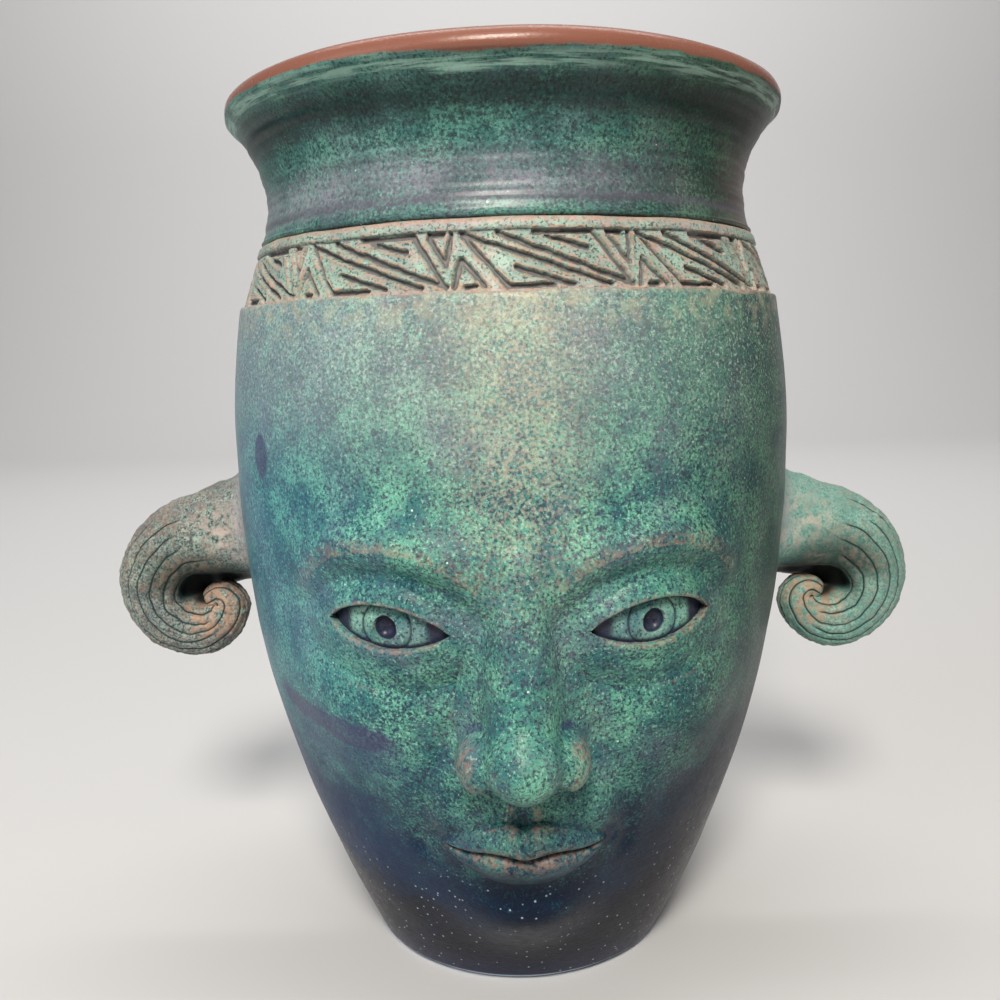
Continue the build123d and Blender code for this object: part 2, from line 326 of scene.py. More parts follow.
def proudness(mesh, spread, hidden):
    """How many mm each vertex stands out of the surface round about it, blurred."""
    fewest_blurs, most_blurs, fewest_neighbours = 2, 80, 3
    count = len(mesh.vertices)
    edges = read(mesh.edges, "vertices", 2, np.int32)
    open_edges = edges.max(1) < count - hidden
    border = np.zeros(count, bool)
    border[edges[~open_edges].ravel()] = True
    edges = edges[open_edges]
    at = read(mesh.vertices, "co", 3) / MM
    normals = read(mesh.vertex_normals, "vector", 3)
    one, other = np.concatenate([edges, edges[:, ::-1]]).T
    near = np.bincount(one, minlength=count)
    step = np.median(np.linalg.norm(at[edges[:, 0]] - at[edges[:, 1]], axis=1))
    blurred = at.copy()
    held = (near < fewest_neighbours) | border
    for _ in range(int(np.clip((spread / step) ** 2 * 2, fewest_blurs, most_blurs))):
        for axis in range(3):
            total = np.bincount(one, blurred[other, axis], count)
            blurred[:, axis] = (blurred[:, axis] + total / np.maximum(near, 1)) / 2
        blurred[held] = at[held]
    return ((at - blurred) * normals).sum(1)


# Closing a front into a solid piece
def close_back(points, faces, border):
    """Add a skirt into the wall along a front's border, and a back to close it."""
    border = [int(i) for i in border]
    inward = points[border].copy()
    reach = np.hypot(inward[:, 0], inward[:, 1])
    inward[:, :2] *= ((reach - skirt_depth) / reach)[:, None]

    # The back's middle is moved out to where the skirt ends, as the wall is curved
    core = inward.mean(0)
    core_reach = np.hypot(core[0], core[1])
    core[:2] *= max(core_reach, np.hypot(inward[:, 0], inward[:, 1]).min() - seam_float) / core_reach
    start, count = len(points), len(border)
    for i, (here, there) in enumerate(zip(border, border[1:] + border[:1])):
        j = (i + 1) % count
        faces.append([there, here, start + i, start + j])
        faces.append([start + j, start + i, start + count])
    return np.vstack([points, inward, core]), faces


def close_patch(front):
    """A front grid of points with its skirt and back, and its faces."""
    rows, columns = front.shape[:2]
    grid = np.arange(rows * columns).reshape(rows, columns)
    border = np.concatenate([grid[0, :-1], grid[:-1, -1], grid[-1, :0:-1], grid[:0:-1, 0]])
    return close_back(front.reshape(-1, 3), grid_faces(rows, columns), border)


def close_disc(rings, pole):
    """The same for rings of points round a pole, the outermost ring first."""
    count, columns = rings.shape[:2]
    faces = grid_faces(count, columns, wrap_columns=True)
    last = (count - 1) * columns
    faces += [[last + i, last + (i + 1) % columns, count * columns] for i in range(columns)]
    return close_back(np.vstack([rings.reshape(-1, 3), pole]), faces, range(columns))


def add_front(name, lines, spread):
    """A piece in the body's glaze, made of the rows of points of its front."""
    points, faces = close_patch(np.stack(lines))
    hidden = len(points) - len(lines) * len(lines[0])
    add_piece(name, points, faces, glazes["body"], spread=spread, hidden=hidden)


# Borders of the laid-on pieces on the wall
nose_top_z = 150.0
nose_low_z = 104.0
nose_top_half = 9.5
nose_low_half = 22.0
lid_half_width = 31.0
upper_lid_reach = 22.0
lower_lid_reach = 20.0
upper_lip_bow, bow_half_width = 0.2, 0.1


def nose_cover(across, z):
    """How far inside the nose's border a place is, in mm."""
    share = np.clip((nose_top_z - z) / (nose_top_z - nose_low_z), 0, 1)
    half = nose_top_half + (nose_low_half - nose_top_half) * share
    return half - np.hypot(across, z - np.clip(z, nose_low_z, nose_top_z))


def eye_cover(across, z):
    """The same for the lids, in rough mm."""
    upwards = (z - eye_z) / np.where(z > eye_z, upper_lid_reach, lower_lid_reach)
    inside = 1 - np.hypot((np.abs(across) - eye_width) / lid_half_width, upwards)
    return inside * lower_lid_reach


def lip_border(share, up):
    """Height of a lip's border over the mouth's line, from its middle to a corner."""
    share = np.clip(share, 0, 1)
    if up > 0:
        bow = (1 - share ** 1.35) ** 0.9 - upper_lip_bow * hump(share, 0, bow_half_width)
        return upper_lip_height * np.clip(bow, 0, 1)
    return -lower_lip_height * (1 - share ** 2.1) ** 0.85


def mouth_cover(across, z):
    """The same for the lips, in rough mm."""
    share = np.abs(across) / (mouth_width / 2)
    over, under = lip_border(share, 1) - (z - mouth_z), (z - mouth_z) - lip_border(share, -1)
    return np.minimum(np.minimum(over, under), (1 - share) * mouth_width / 4)


# Thrown wall: under the foot, up the outside, over the top edge and down inside
front_step = 1.08
back_step = 3.3
front_angle = radians(84)
under_foot_shares = (0.02, 0.5, 0.86)
foot_edge = 2.4
top_edge = 0.8
floor_shares = (0.6, 0.02)
inner_step = 8.5
inner_round = 7.0
inner_gap = 0.3
cover_from, cover_full = 1.0, 2.8
ledge_height = 6
calm_below_z, marked_over_z = 46, 70
broad_ledge_wave, small_ledge_wave = 0.45, 0.2


def wall_columns():
    """Angles of the wall's upright lines, close together across the face."""
    front = round(2 * front_angle * belly_radius / front_step)
    back = round((tau - 2 * front_angle) * belly_radius / back_step)
    angles = np.concatenate([
        np.linspace(-front_angle, front_angle, front, endpoint=False),
        np.linspace(front_angle, tau - front_angle, back, endpoint=False),
    ])
    return (angles + pi) % tau - pi


def make_wall():
    across = wall_columns() * belly_radius
    around = place(across, 0.0, belly_radius)
    ledge = broad_ledge_wave * grain(around, 14, 5) + small_ledge_wave * grain(around, 4, 6)
    rows = []

    def ring(radius, z):
        rows.append(place(across, z + 0 * across, radius + 0 * across))

    for share in under_foot_shares:
        ring((foot_radius - foot_edge) * share, 0)
    for turn in np.linspace(0, pi / 2, 6):
        ring(foot_radius - foot_edge * (1 - sin(turn)), foot_edge * (1 - cos(turn)))
    for z in np.linspace(foot_edge, shoulder_z - top_edge, round(shoulder_z / front_step)):
        radius = skin_radius(across, z + 0 * across)
        for cover in (nose_cover, eye_cover, mouth_cover):
            inside = cover(across, z + 0 * across)
            radius = radius - cover_depth * smoothstep(inside, cover_from, cover_full)
        rise = smoothstep(z, shoulder_z - ledge_height, shoulder_z - top_edge)
        ring(radius, z + ledge * rise)
    top_radius = wall_radius(shoulder_z)
    for turn in np.linspace(pi / 8, pi / 2, 4):
        ring(top_radius - top_edge * (1 - cos(turn)), shoulder_z + ledge - top_edge * (1 - sin(turn)))
    ring(top_radius - wall / 2, shoulder_z - inner_gap)
    outer_rows = len(rows)
    for z in np.arange(shoulder_z, floor_thickness + inner_round, -inner_step):
        ring(wall_radius(z) - wall, z - inner_gap)
    hollow = wall_radius(floor_thickness + inner_round) - wall
    for turn in np.linspace(0, pi / 2, 5):
        ring(hollow - inner_round * (1 - cos(turn)), floor_thickness + inner_round * (1 - sin(turn)))
    for share in floor_shares:
        ring(hollow * share, floor_thickness)
    grid = np.stack(rows)
    count, columns = grid.shape[:2]
    faces = grid_faces(count, columns, wrap_columns=True)
    faces.append(list(range(columns))[::-1])
    faces.append([(count - 1) * columns + i for i in range(columns)])
    inner = np.arange(count)[:, None] + 0 * across >= outer_rows
    calm = 1 - smoothstep(grid[..., 2], calm_below_z, marked_over_z)
    add_piece("thrown_body", grid, faces, glazes["body"], spread=3.0, inner=inner, calm=calm)


# Nose: a body of joined round forms, told by how far a point lies outside them
def smooth_min(a, b, width):
    return -smooth_max(-a, -b, width)


def tapered(points, start, end, start_radius, end_radius):
    """Distance outside a round bar that narrows from its start to its end."""
    run = np.subtract(end, start)
    share = np.clip((points - start) @ run / (run @ run), 0, 1)
    middle = start + share[..., None] * run
    return np.linalg.norm(points - middle, axis=-1) - start_radius - (end_radius - start_radius) * share


def egg(points, centre, radii):
    """Distance outside an egg with a radius along each axis, about right near it."""
    scaled = (points - centre) / radii
    size = np.linalg.norm(scaled, axis=-1)
    return size * (size - 1) / np.maximum(np.linalg.norm(scaled / radii, axis=-1), 1e-6)


def dressed_radius(across, z):
    """Radius of the wall's skin, or of the lids where they stand out of it."""
    rounds, near_eye = 3, 1.0
    across = np.abs(across)
    turned, up = across / belly_radius - eye_angle, z - eye_z
    radius = skin_radius(across, z)
    for _ in range(rounds):
        radius = lid_out(radius * np.sin(turned), up) / np.cos(turned)
    return np.where(np.abs(turned) < near_eye, radius, skin_radius(across, z))


class Table:
    """Values of a slow function of two places, read between the points of a grid."""

    def __init__(self, function, low, high, step):
        self.low, self.step = np.array(low, float), step
        axes = [np.arange(a, b + 2 * step, step) for a, b in zip(low, high)]
        self.values = function(*np.meshgrid(*axes, indexing="ij"))

    def __call__(self, first, second):
        places = [(np.asarray(value) - low) / self.step for value, low in zip((first, second), self.low)]
        places = [np.clip(value, 0, size - 1.001) for value, size in zip(places, self.values.shape)]
        i, j = (value.astype(int) for value in places)
        s, t = places[0] - i, places[1] - j
        near = self.values[i, j] * (1 - s) + self.values[i + 1, j] * s
        far = self.values[i, j + 1] * (1 - s) + self.values[i + 1, j + 1] * s
        return near * (1 - t) + far * t


def skin_at(z):
    """Radius of the wall under the middle of the face."""
    return float(form_radius(np.zeros(1), np.array([z]))[0])


def bisect(low, high, holds, rounds):
    """Halves the way from low, where a test holds, to high, where it doesn't."""
    for _ in range(rounds):
        middle = (low + high) / 2
        inside = holds(middle)
        low, high = np.where(inside, middle, low), np.where(inside, high, middle)
    return low, high


def nose_field(points):
    """Distance outside the nose and the wall, at points (across, out, up)."""
    radius = np.hypot(points[..., 0], points[..., 1])
    angle = np.arctan2(points[..., 0], points[..., 1])
    skin = radius - under_nose(np.abs(angle) * belly_radius, points[..., 2]) - seam_float
    points = np.stack([np.abs(points[..., 0]), points[..., 1], points[..., 2]], -1)
    ball_z = 100.0
    top, low = skin_at(nose_top_z), skin_at(ball_z)

    # Each form by its place and radii, then how softly it joins those before it
    bridge = tapered(points, (0, top - 5.5, 152), (0, low + 9.5, 106), 8.0, 9.0)
    flank = egg(points, (0, low - 6, 114), (19, 13.5, 29))
    ball = egg(points, (0, low + 13.5, ball_z), (10.8, 11.0, 9.8))
    wing = egg(points, (12.2, low + 4.5, 97.5), (6.8, 10.5, 8.4))
    septum = tapered(points, (0, low + 14, 94.2), (0, low + 1, 90.5), 4.2, 4.0)
    nostril = egg(points, (8.3, low + 9.0, 88.6), (3.9, 6.2, 6.4))
    field = bridge
    for form, softness in ((flank, 8.0), (ball, 5.0), (wing, 4.0), (septum, 3.0)):
        field = smooth_min(field, form, softness)
    return smooth_min(smooth_max(field, -nostril, 2.0), skin, 4.0)


def cast(start, ways, field, far):
    """Where rays from start last leave the clay, in which the field is below zero."""
    looks, halvings = 56, 11
    low, high = np.zeros(ways.shape[:-1]), np.full(ways.shape[:-1], far)
    found = np.zeros(ways.shape[:-1], bool)
    for nearer in np.linspace(far, 0, looks)[1:]:
        inside = (field(start + ways * nearer) < 0) & ~found
        low[inside] = nearer
        found |= inside
        high[~found] = nearer
    low, high = bisect(low, high, lambda reach: field(start + ways * reach[..., None]) < 0, halvings)
    return start + ways * ((low + high) / 2)[..., None]


def make_nose():
    """Rings of points where rays from inside the nose leave it, from its border inwards."""
    columns, rows, halvings = 200, 92, 24
    centre_z, start_depth, far, pole_fall = 112.0, 10.0, 60.0, 0.3
    calm_from, calm_full = 122, 142
    turn = full_turn(columns)

    def covered(reach):
        return nose_cover(reach * np.sin(turn), centre_z + reach * np.cos(turn)) > 0

    reach = bisect(np.zeros(columns), np.full(columns, far), covered, halvings)[0]
    across, z = reach * np.sin(turn), centre_z + reach * np.cos(turn)
    border = place(across, z, under_nose(np.abs(across), z) + seam_float) * (1, -1, 1)
    start = np.array([0, skin_at(centre_z) - start_depth, centre_z])
    edge_ways = border - start
    edge_ways /= np.linalg.norm(edge_ways, axis=1)[:, None]
    pole_way = np.array([0, 1.0, -pole_fall]) / np.hypot(1, pole_fall)
    opening = np.arccos(np.clip(edge_ways @ pole_way, -1, 1))
    share = (np.arange(rows) / rows)[:, None] ** 1.35
    ways = edge_ways * np.sin((1 - share) * opening)[..., None]
    ways = ways + pole_way * np.sin(share * opening)[..., None]
    ways /= np.linalg.norm(ways, axis=-1)[..., None]
    rings = cast(start, ways, nose_field, far)
    rings[0] = border
    pole = cast(start, pole_way[None], nose_field, far)
    points, faces = close_disc(rings * (1, -1, 1), pole * (1, -1, 1))
    calm = smoothstep(points[:, 2], calm_from, calm_full)
    add_piece("nose", points, faces, glazes["body"], spread=2.2, hidden=columns + 1, calm=calm)


# Eyes, worked out to the right of the nose in the eye's own directions: along
# the lids, up, and out from the pot's axis through the pupil
ball_out = float(form_radius(np.array(eye_width), np.array(eye_z))) + eyeball_stand - eyeball_radius
half_eye = eye_width / 2


def eye_points(along, up, out, side):
    """Points of the eye on the given side, -1 for the left one."""
    x = out * sin(eye_angle) + along * cos(eye_angle)
    y = -out * cos(eye_angle) + along * sin(eye_angle)
    return np.stack(np.broadcast_arrays(side * x, y, eye_z + up), -1)


def skin_out(along, up):
    """How far out the wall's skin lies."""
    radius = np.full(np.broadcast(along, up).shape, belly_radius)
    along = np.clip(along, -0.9 * belly_radius, 0.9 * belly_radius)
    for _ in range(4):
        turned = np.arcsin(np.clip(along / radius, -1, 1))
        radius = skin_radius((eye_angle + turned) * belly_radius, eye_z + up)
    return np.sqrt(radius ** 2 - along ** 2)


def ball_at(along, up, radius, reach):
    """How far out a ball lies that is radius high and reach long to each side."""
    rest = np.clip(1 - (along / reach) ** 2 - (up / radius) ** 2, 0, None)
    return ball_out + radius * np.sqrt(rest)


def parting(along):
    """Height of the line on which the lids would meet."""
    return corner_tilt * along / half_eye


def lid_edge(along, opening):
    """Height of a lid's edge, which meets the other lid's at the eye's corners."""
    return parting(along) + opening * np.clip(1 - (along / half_eye) ** 2, 0, 1) ** 0.85


def lid_out(along, up):
    """How far out the lids lie, joined softly to the wall round them."""
    upper = smoothstep(up - parting(along), -3, 3)
    corner = np.clip(np.abs(along) / (half_eye + 3), 0, 1)
    thick = lower_lid_thickness + (upper_lid_thickness - lower_lid_thickness) * upper
    lid = ball_at(along, up, eyeball_radius + thick * (1 - 0.5 * corner ** 2), eyeball_reach + lid_margin)

    # The fold over the upper lid and the crease under the lower one
    fold = up - lid_edge(along, upper_opening) - 6.5 + 2.5 * corner ** 2
    crease = up - lid_edge(along, -lower_opening) + 5.5 - 2 * corner ** 2
    for off, depth, half_width in ((fold, 0.75, 1.1), (crease, 0.45, 1.3)):
        lid = lid - depth * hump(off, 0, half_width) * (1 - corner ** 4)
    return smooth_max(lid, skin_out(along, up) + seam_float, 7.5 - 4.5 * upper)


under_nose = Table(dressed_radius, (0, 60), (60, 180), 0.4)


def make_lid(name, side, up, opening, thickness):
    """A lid from where it tucks under the ball, over its round edge, to its border."""
    columns, rows, edge_rows = 121, 44, 6
    tuck, tuck_end, tuck_back = 0.6, 0.3, 1.4
    widest_round, round_share = 1.1, 0.4
    along = lid_half_width * np.sin(np.linspace(-pi / 2, pi / 2, columns))
    edge = lid_edge(along, up * opening)
    reach = upper_lid_reach if up > 0 else lower_lid_reach
    far = up * reach * np.sqrt(np.clip(1 - (along / lid_half_width) ** 2, 0, 1))
    far = np.where(up * (far - edge) > 0, far, edge)
    round_edge = min(widest_round, round_share * thickness)
    round_edge = round_edge * smoothstep(half_eye - np.abs(along), 0.0, 3.0)
    ball = ball_at(along, edge, eyeball_radius, eyeball_reach)
    under = np.minimum(ball, skin_out(along, edge)) - tuck
    back = edge + up * tuck_back * smoothstep(up * (far - edge), 0, 4)
    lines = [eye_points(along, back, under - tuck_end, side), eye_points(along, edge, under, side)]
    for turn in np.linspace(pi / 2, 0, edge_rows):
        level = edge + up * round_edge * (1 - sin(turn))
        lines.append(eye_points(along, level, lid_out(along, level) - round_edge * (1 - cos(turn)), side))
    first = edge + up * round_edge
    for share in np.linspace(0, 1, rows)[1:]:
        level = first + (far - first) * share
        lines.append(eye_points(along, level, lid_out(along, level), side))
    add_front(name, lines, spread=1.6)


def make_eyeball(name, side):
    """The part of the ball that shows, with its pupil hole and incised iris."""
    columns, rows = 96, 64
    half_height, more_width = 12, 10
    iris_radius, iris_line, iris_cut, iris_swell = 7.6, 0.55, 0.6, 0.35
    turn = full_turn(columns)
    size = np.linspace(half_height, 0, rows, endpoint=False)[:, None]
    along = (size + more_width * (size / half_height) ** 3) * np.cos(turn)
    up = size * np.sin(turn)
    off = np.hypot(along, up)
    out = ball_at(along, up, eyeball_radius, eyeball_reach)
    pit = pupil_radius * np.sqrt(np.clip(1 - (off / pupil_radius) ** 2, 0, 1))
    ring = hump(off, iris_radius, iris_line)
    swell = iris_swell * smoothstep(iris_radius - off, 0, 2.5)
    rings = eye_points(along, up, out - pit - iris_cut * ring + swell, side)
    deepest = ball_at(0.0, 0.0, eyeball_radius, eyeball_reach) - pupil_radius
    points, faces = close_disc(rings, eye_points(np.zeros(1), np.zeros(1), deepest, side))

    # Glaze pools along the lids, in the corners, in the pupil and in the iris line
    over = lid_edge(along, upper_opening) - up
    below = up - lid_edge(along, -lower_opening)
    pooled = 1 - smoothstep(np.minimum(over, below), -0.5, 3.2)
    pooled = np.maximum(pooled, 0.85 * smoothstep(np.abs(along), 9.0, 14.0))
    pooled = np.maximum(np.maximum(pooled, smoothstep(pit, 0.2, 1.6)), 0.75 * ring)
    add_piece(name, points, faces, glazes["eye"], spread=1.2, marks=pooled,
              hidden=columns + 1)


# Lips, each a grid from the mouth's line to its own border
def make_lip(name, up, stand, lip_height):
    columns, rows = 161, 34
    tuck, deep_tuck, edge_round = 1.2, 1.3, 0.75
    share = np.sin(np.linspace(-1, 1, columns) * pi / 2)
    across, size = share * mouth_width / 2, np.abs(share)

    # The mouth's line dips in the middle, swells beside it and rises to the corners
    line = 0.8 * hump(size, 0.36, 0.2) - 0.9 * hump(size, 0, 0.15) + 0.5 * smoothstep(size, 0.6, 1)
    line = mouth_z + line * (1 - size ** 6)
    border = mouth_z + lip_border(size, up)
    fullness = stand * (1 - size ** 2) ** 0.7 * (1 + 0.1 * up * hump(size, 0, 0.16))
    roll_share, rim_share = 0.32, 0.34 if up > 0 else 0.2

    def row(z, stands):
        return place(across, z, skin_radius(across, z) + stands)

    # Rows from inside the mouth over the lip's roll to its rim and down on the skin
    room = smoothstep(np.abs(border - line), 0, 2)
    lines = [row(line + up * 1.2 * room, -deep_tuck), row(line + up * 0.1 * room, -tuck)]
    for step in np.linspace(0, 1, rows):
        if step < roll_share:
            full = sqrt(1 - ((roll_share - step) / roll_share * 0.9) ** 2)
        else:
            full = 1 - (1 - rim_share) * ((step - roll_share) / (1 - roll_share)) ** 1.6
        z = line + up * 0.12 * room + (border - line) * step
        lines.append(row(z, np.maximum(fullness * full, seam_float)))
    for turn in (0.35, 0.7, 1.0):
        z = border + up * edge_round * turn * room
        lines.append(row(z, np.maximum(fullness * rim_share * (1 - turn), seam_float)))
    add_front(name, lines, spread=1.8)


# Ears: a root that flares onto the wall, a tapered coil that ends in a tight knob,
# and lines cut along it. Places round a ring are angles from the coil's outer side,
# and places along the coil are shares of it.
root_round, root_round_above = 7.5, 0.45
root_rise = 4.5
line_first = 12.0
line_spacing = 20.0
lines_a_side = 7
cut_depth = 0.5
cut_half_width = 0.34
cut_section = [(-2.1, -0.12), (-1, 0.5), (0, 1), (1, 0.5), (2.1, -0.12)]
cut_reach = 2.1
cut_fade = 0.07
short_cut_end = (0.72, 0.82)
ridge_swell = 0.22
widest_ridge = radians(30)
ear_mesh_step = 5.5
hollow_recess = 3.6
hollow_angle, hollow_half_width = radians(158), radians(24)
hollow_end = (0.3, 0.46)
shade_start = (radians(84), radians(168))
shade_end = (radians(225), radians(250))
web_angle, web_half_width = radians(205), radians(17)
web_overlap = 1.5
knob_start_angle = 332.0
knob_turn = 150.0
knob_curl_radius = 3.2
knob_end_thickness = 4.4
knob_forward = 2.5
broad_ear_lump, small_ear_lump, finest_ear_lump = 0.4, 0.15, 0.22

# The ear's rings: the fillet on the wall, the straight arm, the coil, the knob and
# the dome on the knob's end
fillet_turns = np.linspace(pi / 2, 0, 8)
dome_turns = np.linspace(0.15, 1.45, 10)
arm_rings, coil_rings, knob_rings = 14, 170, 50
coil_start = len(fillet_turns) + arm_rings
knob_start = coil_start + coil_rings
dome_start = knob_start + knob_rings
ring_count = dome_start + len(dome_turns)
knob_share = (knob_start_angle - curl_start_angle) / curl_turn
curl_x = belly_radius + curl_reach


def ear_columns(thickness, coiled, seed):
    """Ring angles of the ear's lengthwise mesh lines, row by row, with how deep
    each is cut. The cuts wander a little, and start unevenly along the coil."""
    angles, depths = [], []
    half = [radians(line_first + line_spacing * i) for i in range(lines_a_side)]
    cuts = half + [tau - angle for angle in reversed(half)]
    wandering = []
    for i, angle in enumerate(cuts):
        path = np.stack([coiled * 90, 0 * coiled + i * 9.1, 0 * coiled + seed], -1)
        wander = 0.75 * grain(path, 21, 3) + 0.3 * grain(path, 5, 4)
        wandering.append(angle + wander / thickness)
    width = cut_half_width / thickness
    for i, here in enumerate(wandering):
        there = wandering[(i + 1) % len(cuts)] + (tau if i + 1 == len(cuts) else 0)
        outer = (1 + cos(cuts[i])) / 2
        starts = 0.11 * outer - cut_fade + 0.04 * sin(i * 2.3 + seed)
        active = smoothstep(coiled, starts, starts + cut_fade)
        if i % 2:
            active = active * (1 - smoothstep(coiled, *short_cut_end))
        for offset, depth in cut_section:
            angles.append(here + offset * width)
            depths.append(active * depth * cut_depth)
        first, last = here + cut_reach * width, there - cut_reach * width
        gap = (cuts[(i + 1) % len(cuts)] - cuts[i]) % tau
        fillers = max(3, round(degrees(gap) / ear_mesh_step))
        for filler in range(1, fillers):
            share = filler / fillers
            angles.append(first + (last - first) * share)
            swell = ridge_swell * sin(pi * share) if gap < widest_ridge else 0
            depths.append(-active * swell)
    return np.stack(angles, 1), np.stack(depths, 1)


class Ear:
    """The form of one ear, ring by ring from the wall to the knob's end."""

    def __init__(self, side, curl_z, seed):
        self.side, self.curl_z = side, curl_z
        share, knob = np.zeros(ring_count), np.zeros(ring_count)
        share[coil_start:knob_start] = np.linspace(0, knob_share, coil_rings, endpoint=False)
        share[knob_start:] = knob_share
        knob[knob_start:dome_start] = np.linspace(0, 1, knob_rings)
        knob[dome_start:] = 1
        self.knob = knob
        self.heading = radians(curl_start_angle) + radians(curl_turn) * share + radians(knob_turn) * knob
        thickness = ear_thickness + (ear_tip_thickness - ear_thickness) * share
        self.thickness = thickness + (knob_end_thickness - thickness) * knob
        self.flatness = ear_flatness + (1 - ear_flatness) * share

        # The knob bends more tightly than the coil does, round a centre of its own
        bend_radius = coil_start_radius + (coil_tip_radius - coil_start_radius) * share
        shift = (bend_radius[-1] - knob_curl_radius) * (knob > 0)
        self.bend_radius = bend_radius - shift
        self.middle_out = curl_x - shift * cos(radians(knob_start_angle))
        self.middle_z = curl_z + shift * sin(radians(knob_start_angle))
        self.forward = knob_forward * smoothstep(share / knob_share + knob, 0.7, 2)

        # Round the ear: the cut lines, and the hollow and its shade under the arm
        lengthwise = share + knob * (1 - knob_share)
        lengthwise[:coil_start] = np.linspace(-0.2, 0, coil_start, endpoint=False)
        self.angles, self.depths = ear_columns(self.thickness, lengthwise, seed)
        under = (1 - smoothstep(share, *hollow_end))[:, None]
        self.recess = hollow_recess * under * hump(self.angles, hollow_angle, hollow_half_width)
        shaded = smoothstep(self.angles, *shade_start) * (1 - smoothstep(self.angles, *shade_end))
        self.shade = shaded * under

    def points(self, out, front, z):
        return np.stack([self.side * out, -front, z], -1)

    def root_ring(self, row, turn):
        """A ring of the root's fillet, which lies on the wall at a quarter turn."""
        angle = self.angles[row]
        round_here = root_round * (1 + root_round_above * np.cos(angle))
        spread = round_here * (1 - cos(turn))
        front = (ear_thickness * ear_flatness + spread) * np.sin(angle)
        lift = root_rise * (1 + np.cos(angle)) / 2
        above = (ear_thickness - self.recess[row] + spread) * np.cos(angle)
        z = self.curl_z + coil_start_radius + above + lift
        across = (pi / 2 - np.arcsin(front / belly_radius)) * belly_radius
        radius = skin_radius(across, z) + seam_float
        return self.points(np.sqrt(radius ** 2 - front ** 2) + round_here * (1 - sin(turn)), front, z)

    def coil_ring(self, row, turn=0.0):
        """A ring of the coil or knob, or of the dome at the knob's end by its turn."""
        thickness, heading = self.thickness[row], self.heading[row]
        size = (thickness - self.depths[row] - self.recess[row]) * cos(turn)
        ahead = thickness * sin(turn)
        inner_back = hump(self.angles[row], web_angle, web_half_width)
        web = inner_back * (self.bend_radius[row] - thickness + web_overlap) * (self.knob[row] == 0)
        lift = self.bend_radius[row] + size * np.cos(self.angles[row]) - web
        out = self.middle_out[row] - lift * cos(heading) + ahead * sin(heading)
        z = self.middle_z[row] + lift * sin(heading) + ahead * cos(heading)
        front = size * self.flatness[row] * np.sin(self.angles[row]) + self.forward[row]
        return self.points(out, front, z)


def make_ear(name, side, curl_z, seed):
    ear = Ear(side, curl_z, seed)
    rings = [ear.root_ring(row, turn) for row, turn in enumerate(fillet_turns)]
    first, last = rings[-1], ear.coil_ring(coil_start)
    rings += [first + (last - first) * step / (arm_rings + 1) for step in range(1, arm_rings + 1)]
    rings += [ear.coil_ring(row) for row in range(coil_start, dome_start)]
    rings += [ear.coil_ring(row, turn) for row, turn in enumerate(dome_turns, dome_start)]
    rings = np.stack(rings)
    tip = rings[-1].mean(0)

    # Lumps of the hand, the finest of them on the coil's outer side
    away = smoothstep(np.arange(ring_count), 6, 16)[:, None]
    outer = (1 + np.cos(ear.angles)) / 2
    lumps = (broad_ear_lump * grain(rings, 9, seed) + small_ear_lump * grain(rings, 3, seed)) * away
    lumps = lumps + finest_ear_lump * grain(rings, 1.7, seed + 5) * away * outer ** 2
    way = rings - rings.mean(1, keepdims=True)
    rings += way / np.maximum(np.linalg.norm(way, axis=-1, keepdims=True), 1) * lumps[..., None]
    points, faces = close_disc(rings, tip)
    add_piece(name, points, faces, glazes["ear"], spread=2.6,
              marks=np.clip(ear.depths / cut_depth, 0, 1), hidden=rings.shape[1] + 1, inner=ear.shade)


# Carved band: strokes of one repeat, start and end as shares of its length and
# of the band's height. Long strokes run on into the next repeat.
fret_stroke_shares = [
    ((0.000, 0.93), (0.090, 0.93)),
    ((0.000, 0.93), (0.116, 0.43)),
    ((0.140, 0.93), (0.116, 0.43)),
    ((0.200, 0.50), (0.167, 0.07)),
    ((0.200, 0.50), (0.326, 0.07)),
    ((0.225, 0.07), (0.279, 0.07)),
    ((0.194, 0.93), (0.442, 0.07)),
    ((0.442, 0.07), (0.682, 0.07)),
    ((0.194, 0.93), (0.992, 0.07)),
    ((0.388, 0.93), (1.124, 0.07)),
    ((0.589, 0.93), (0.915, 0.93)),
    ((0.915, 0.93), (1.116, 0.07)),
    ((0.659, 0.87), (0.884, 0.66)),
    ((0.488, 0.36), (0.790, 0.07)),
]
fret_height = band_height - 2 * bead_radius - seam_round
upper_bevel, lower_bevel = 0.8, 0.5
burr_height, burr_off, burr_half_width = 0.28, 0.25, 0.35

# How far the band laps into the wall and the collar, then its bead with the
# groove under it and the seam over it
wall_lap, collar_lap = 1.2, 0.2
bead_half_flat, bead_wave, bead_share = 0.45, 0.3, 0.5
groove_depth, groove_off, groove_half_width = 0.5, 0.8, 0.4
seam_depth, seam_from, seam_full = 1.3, 0.25, 0.8


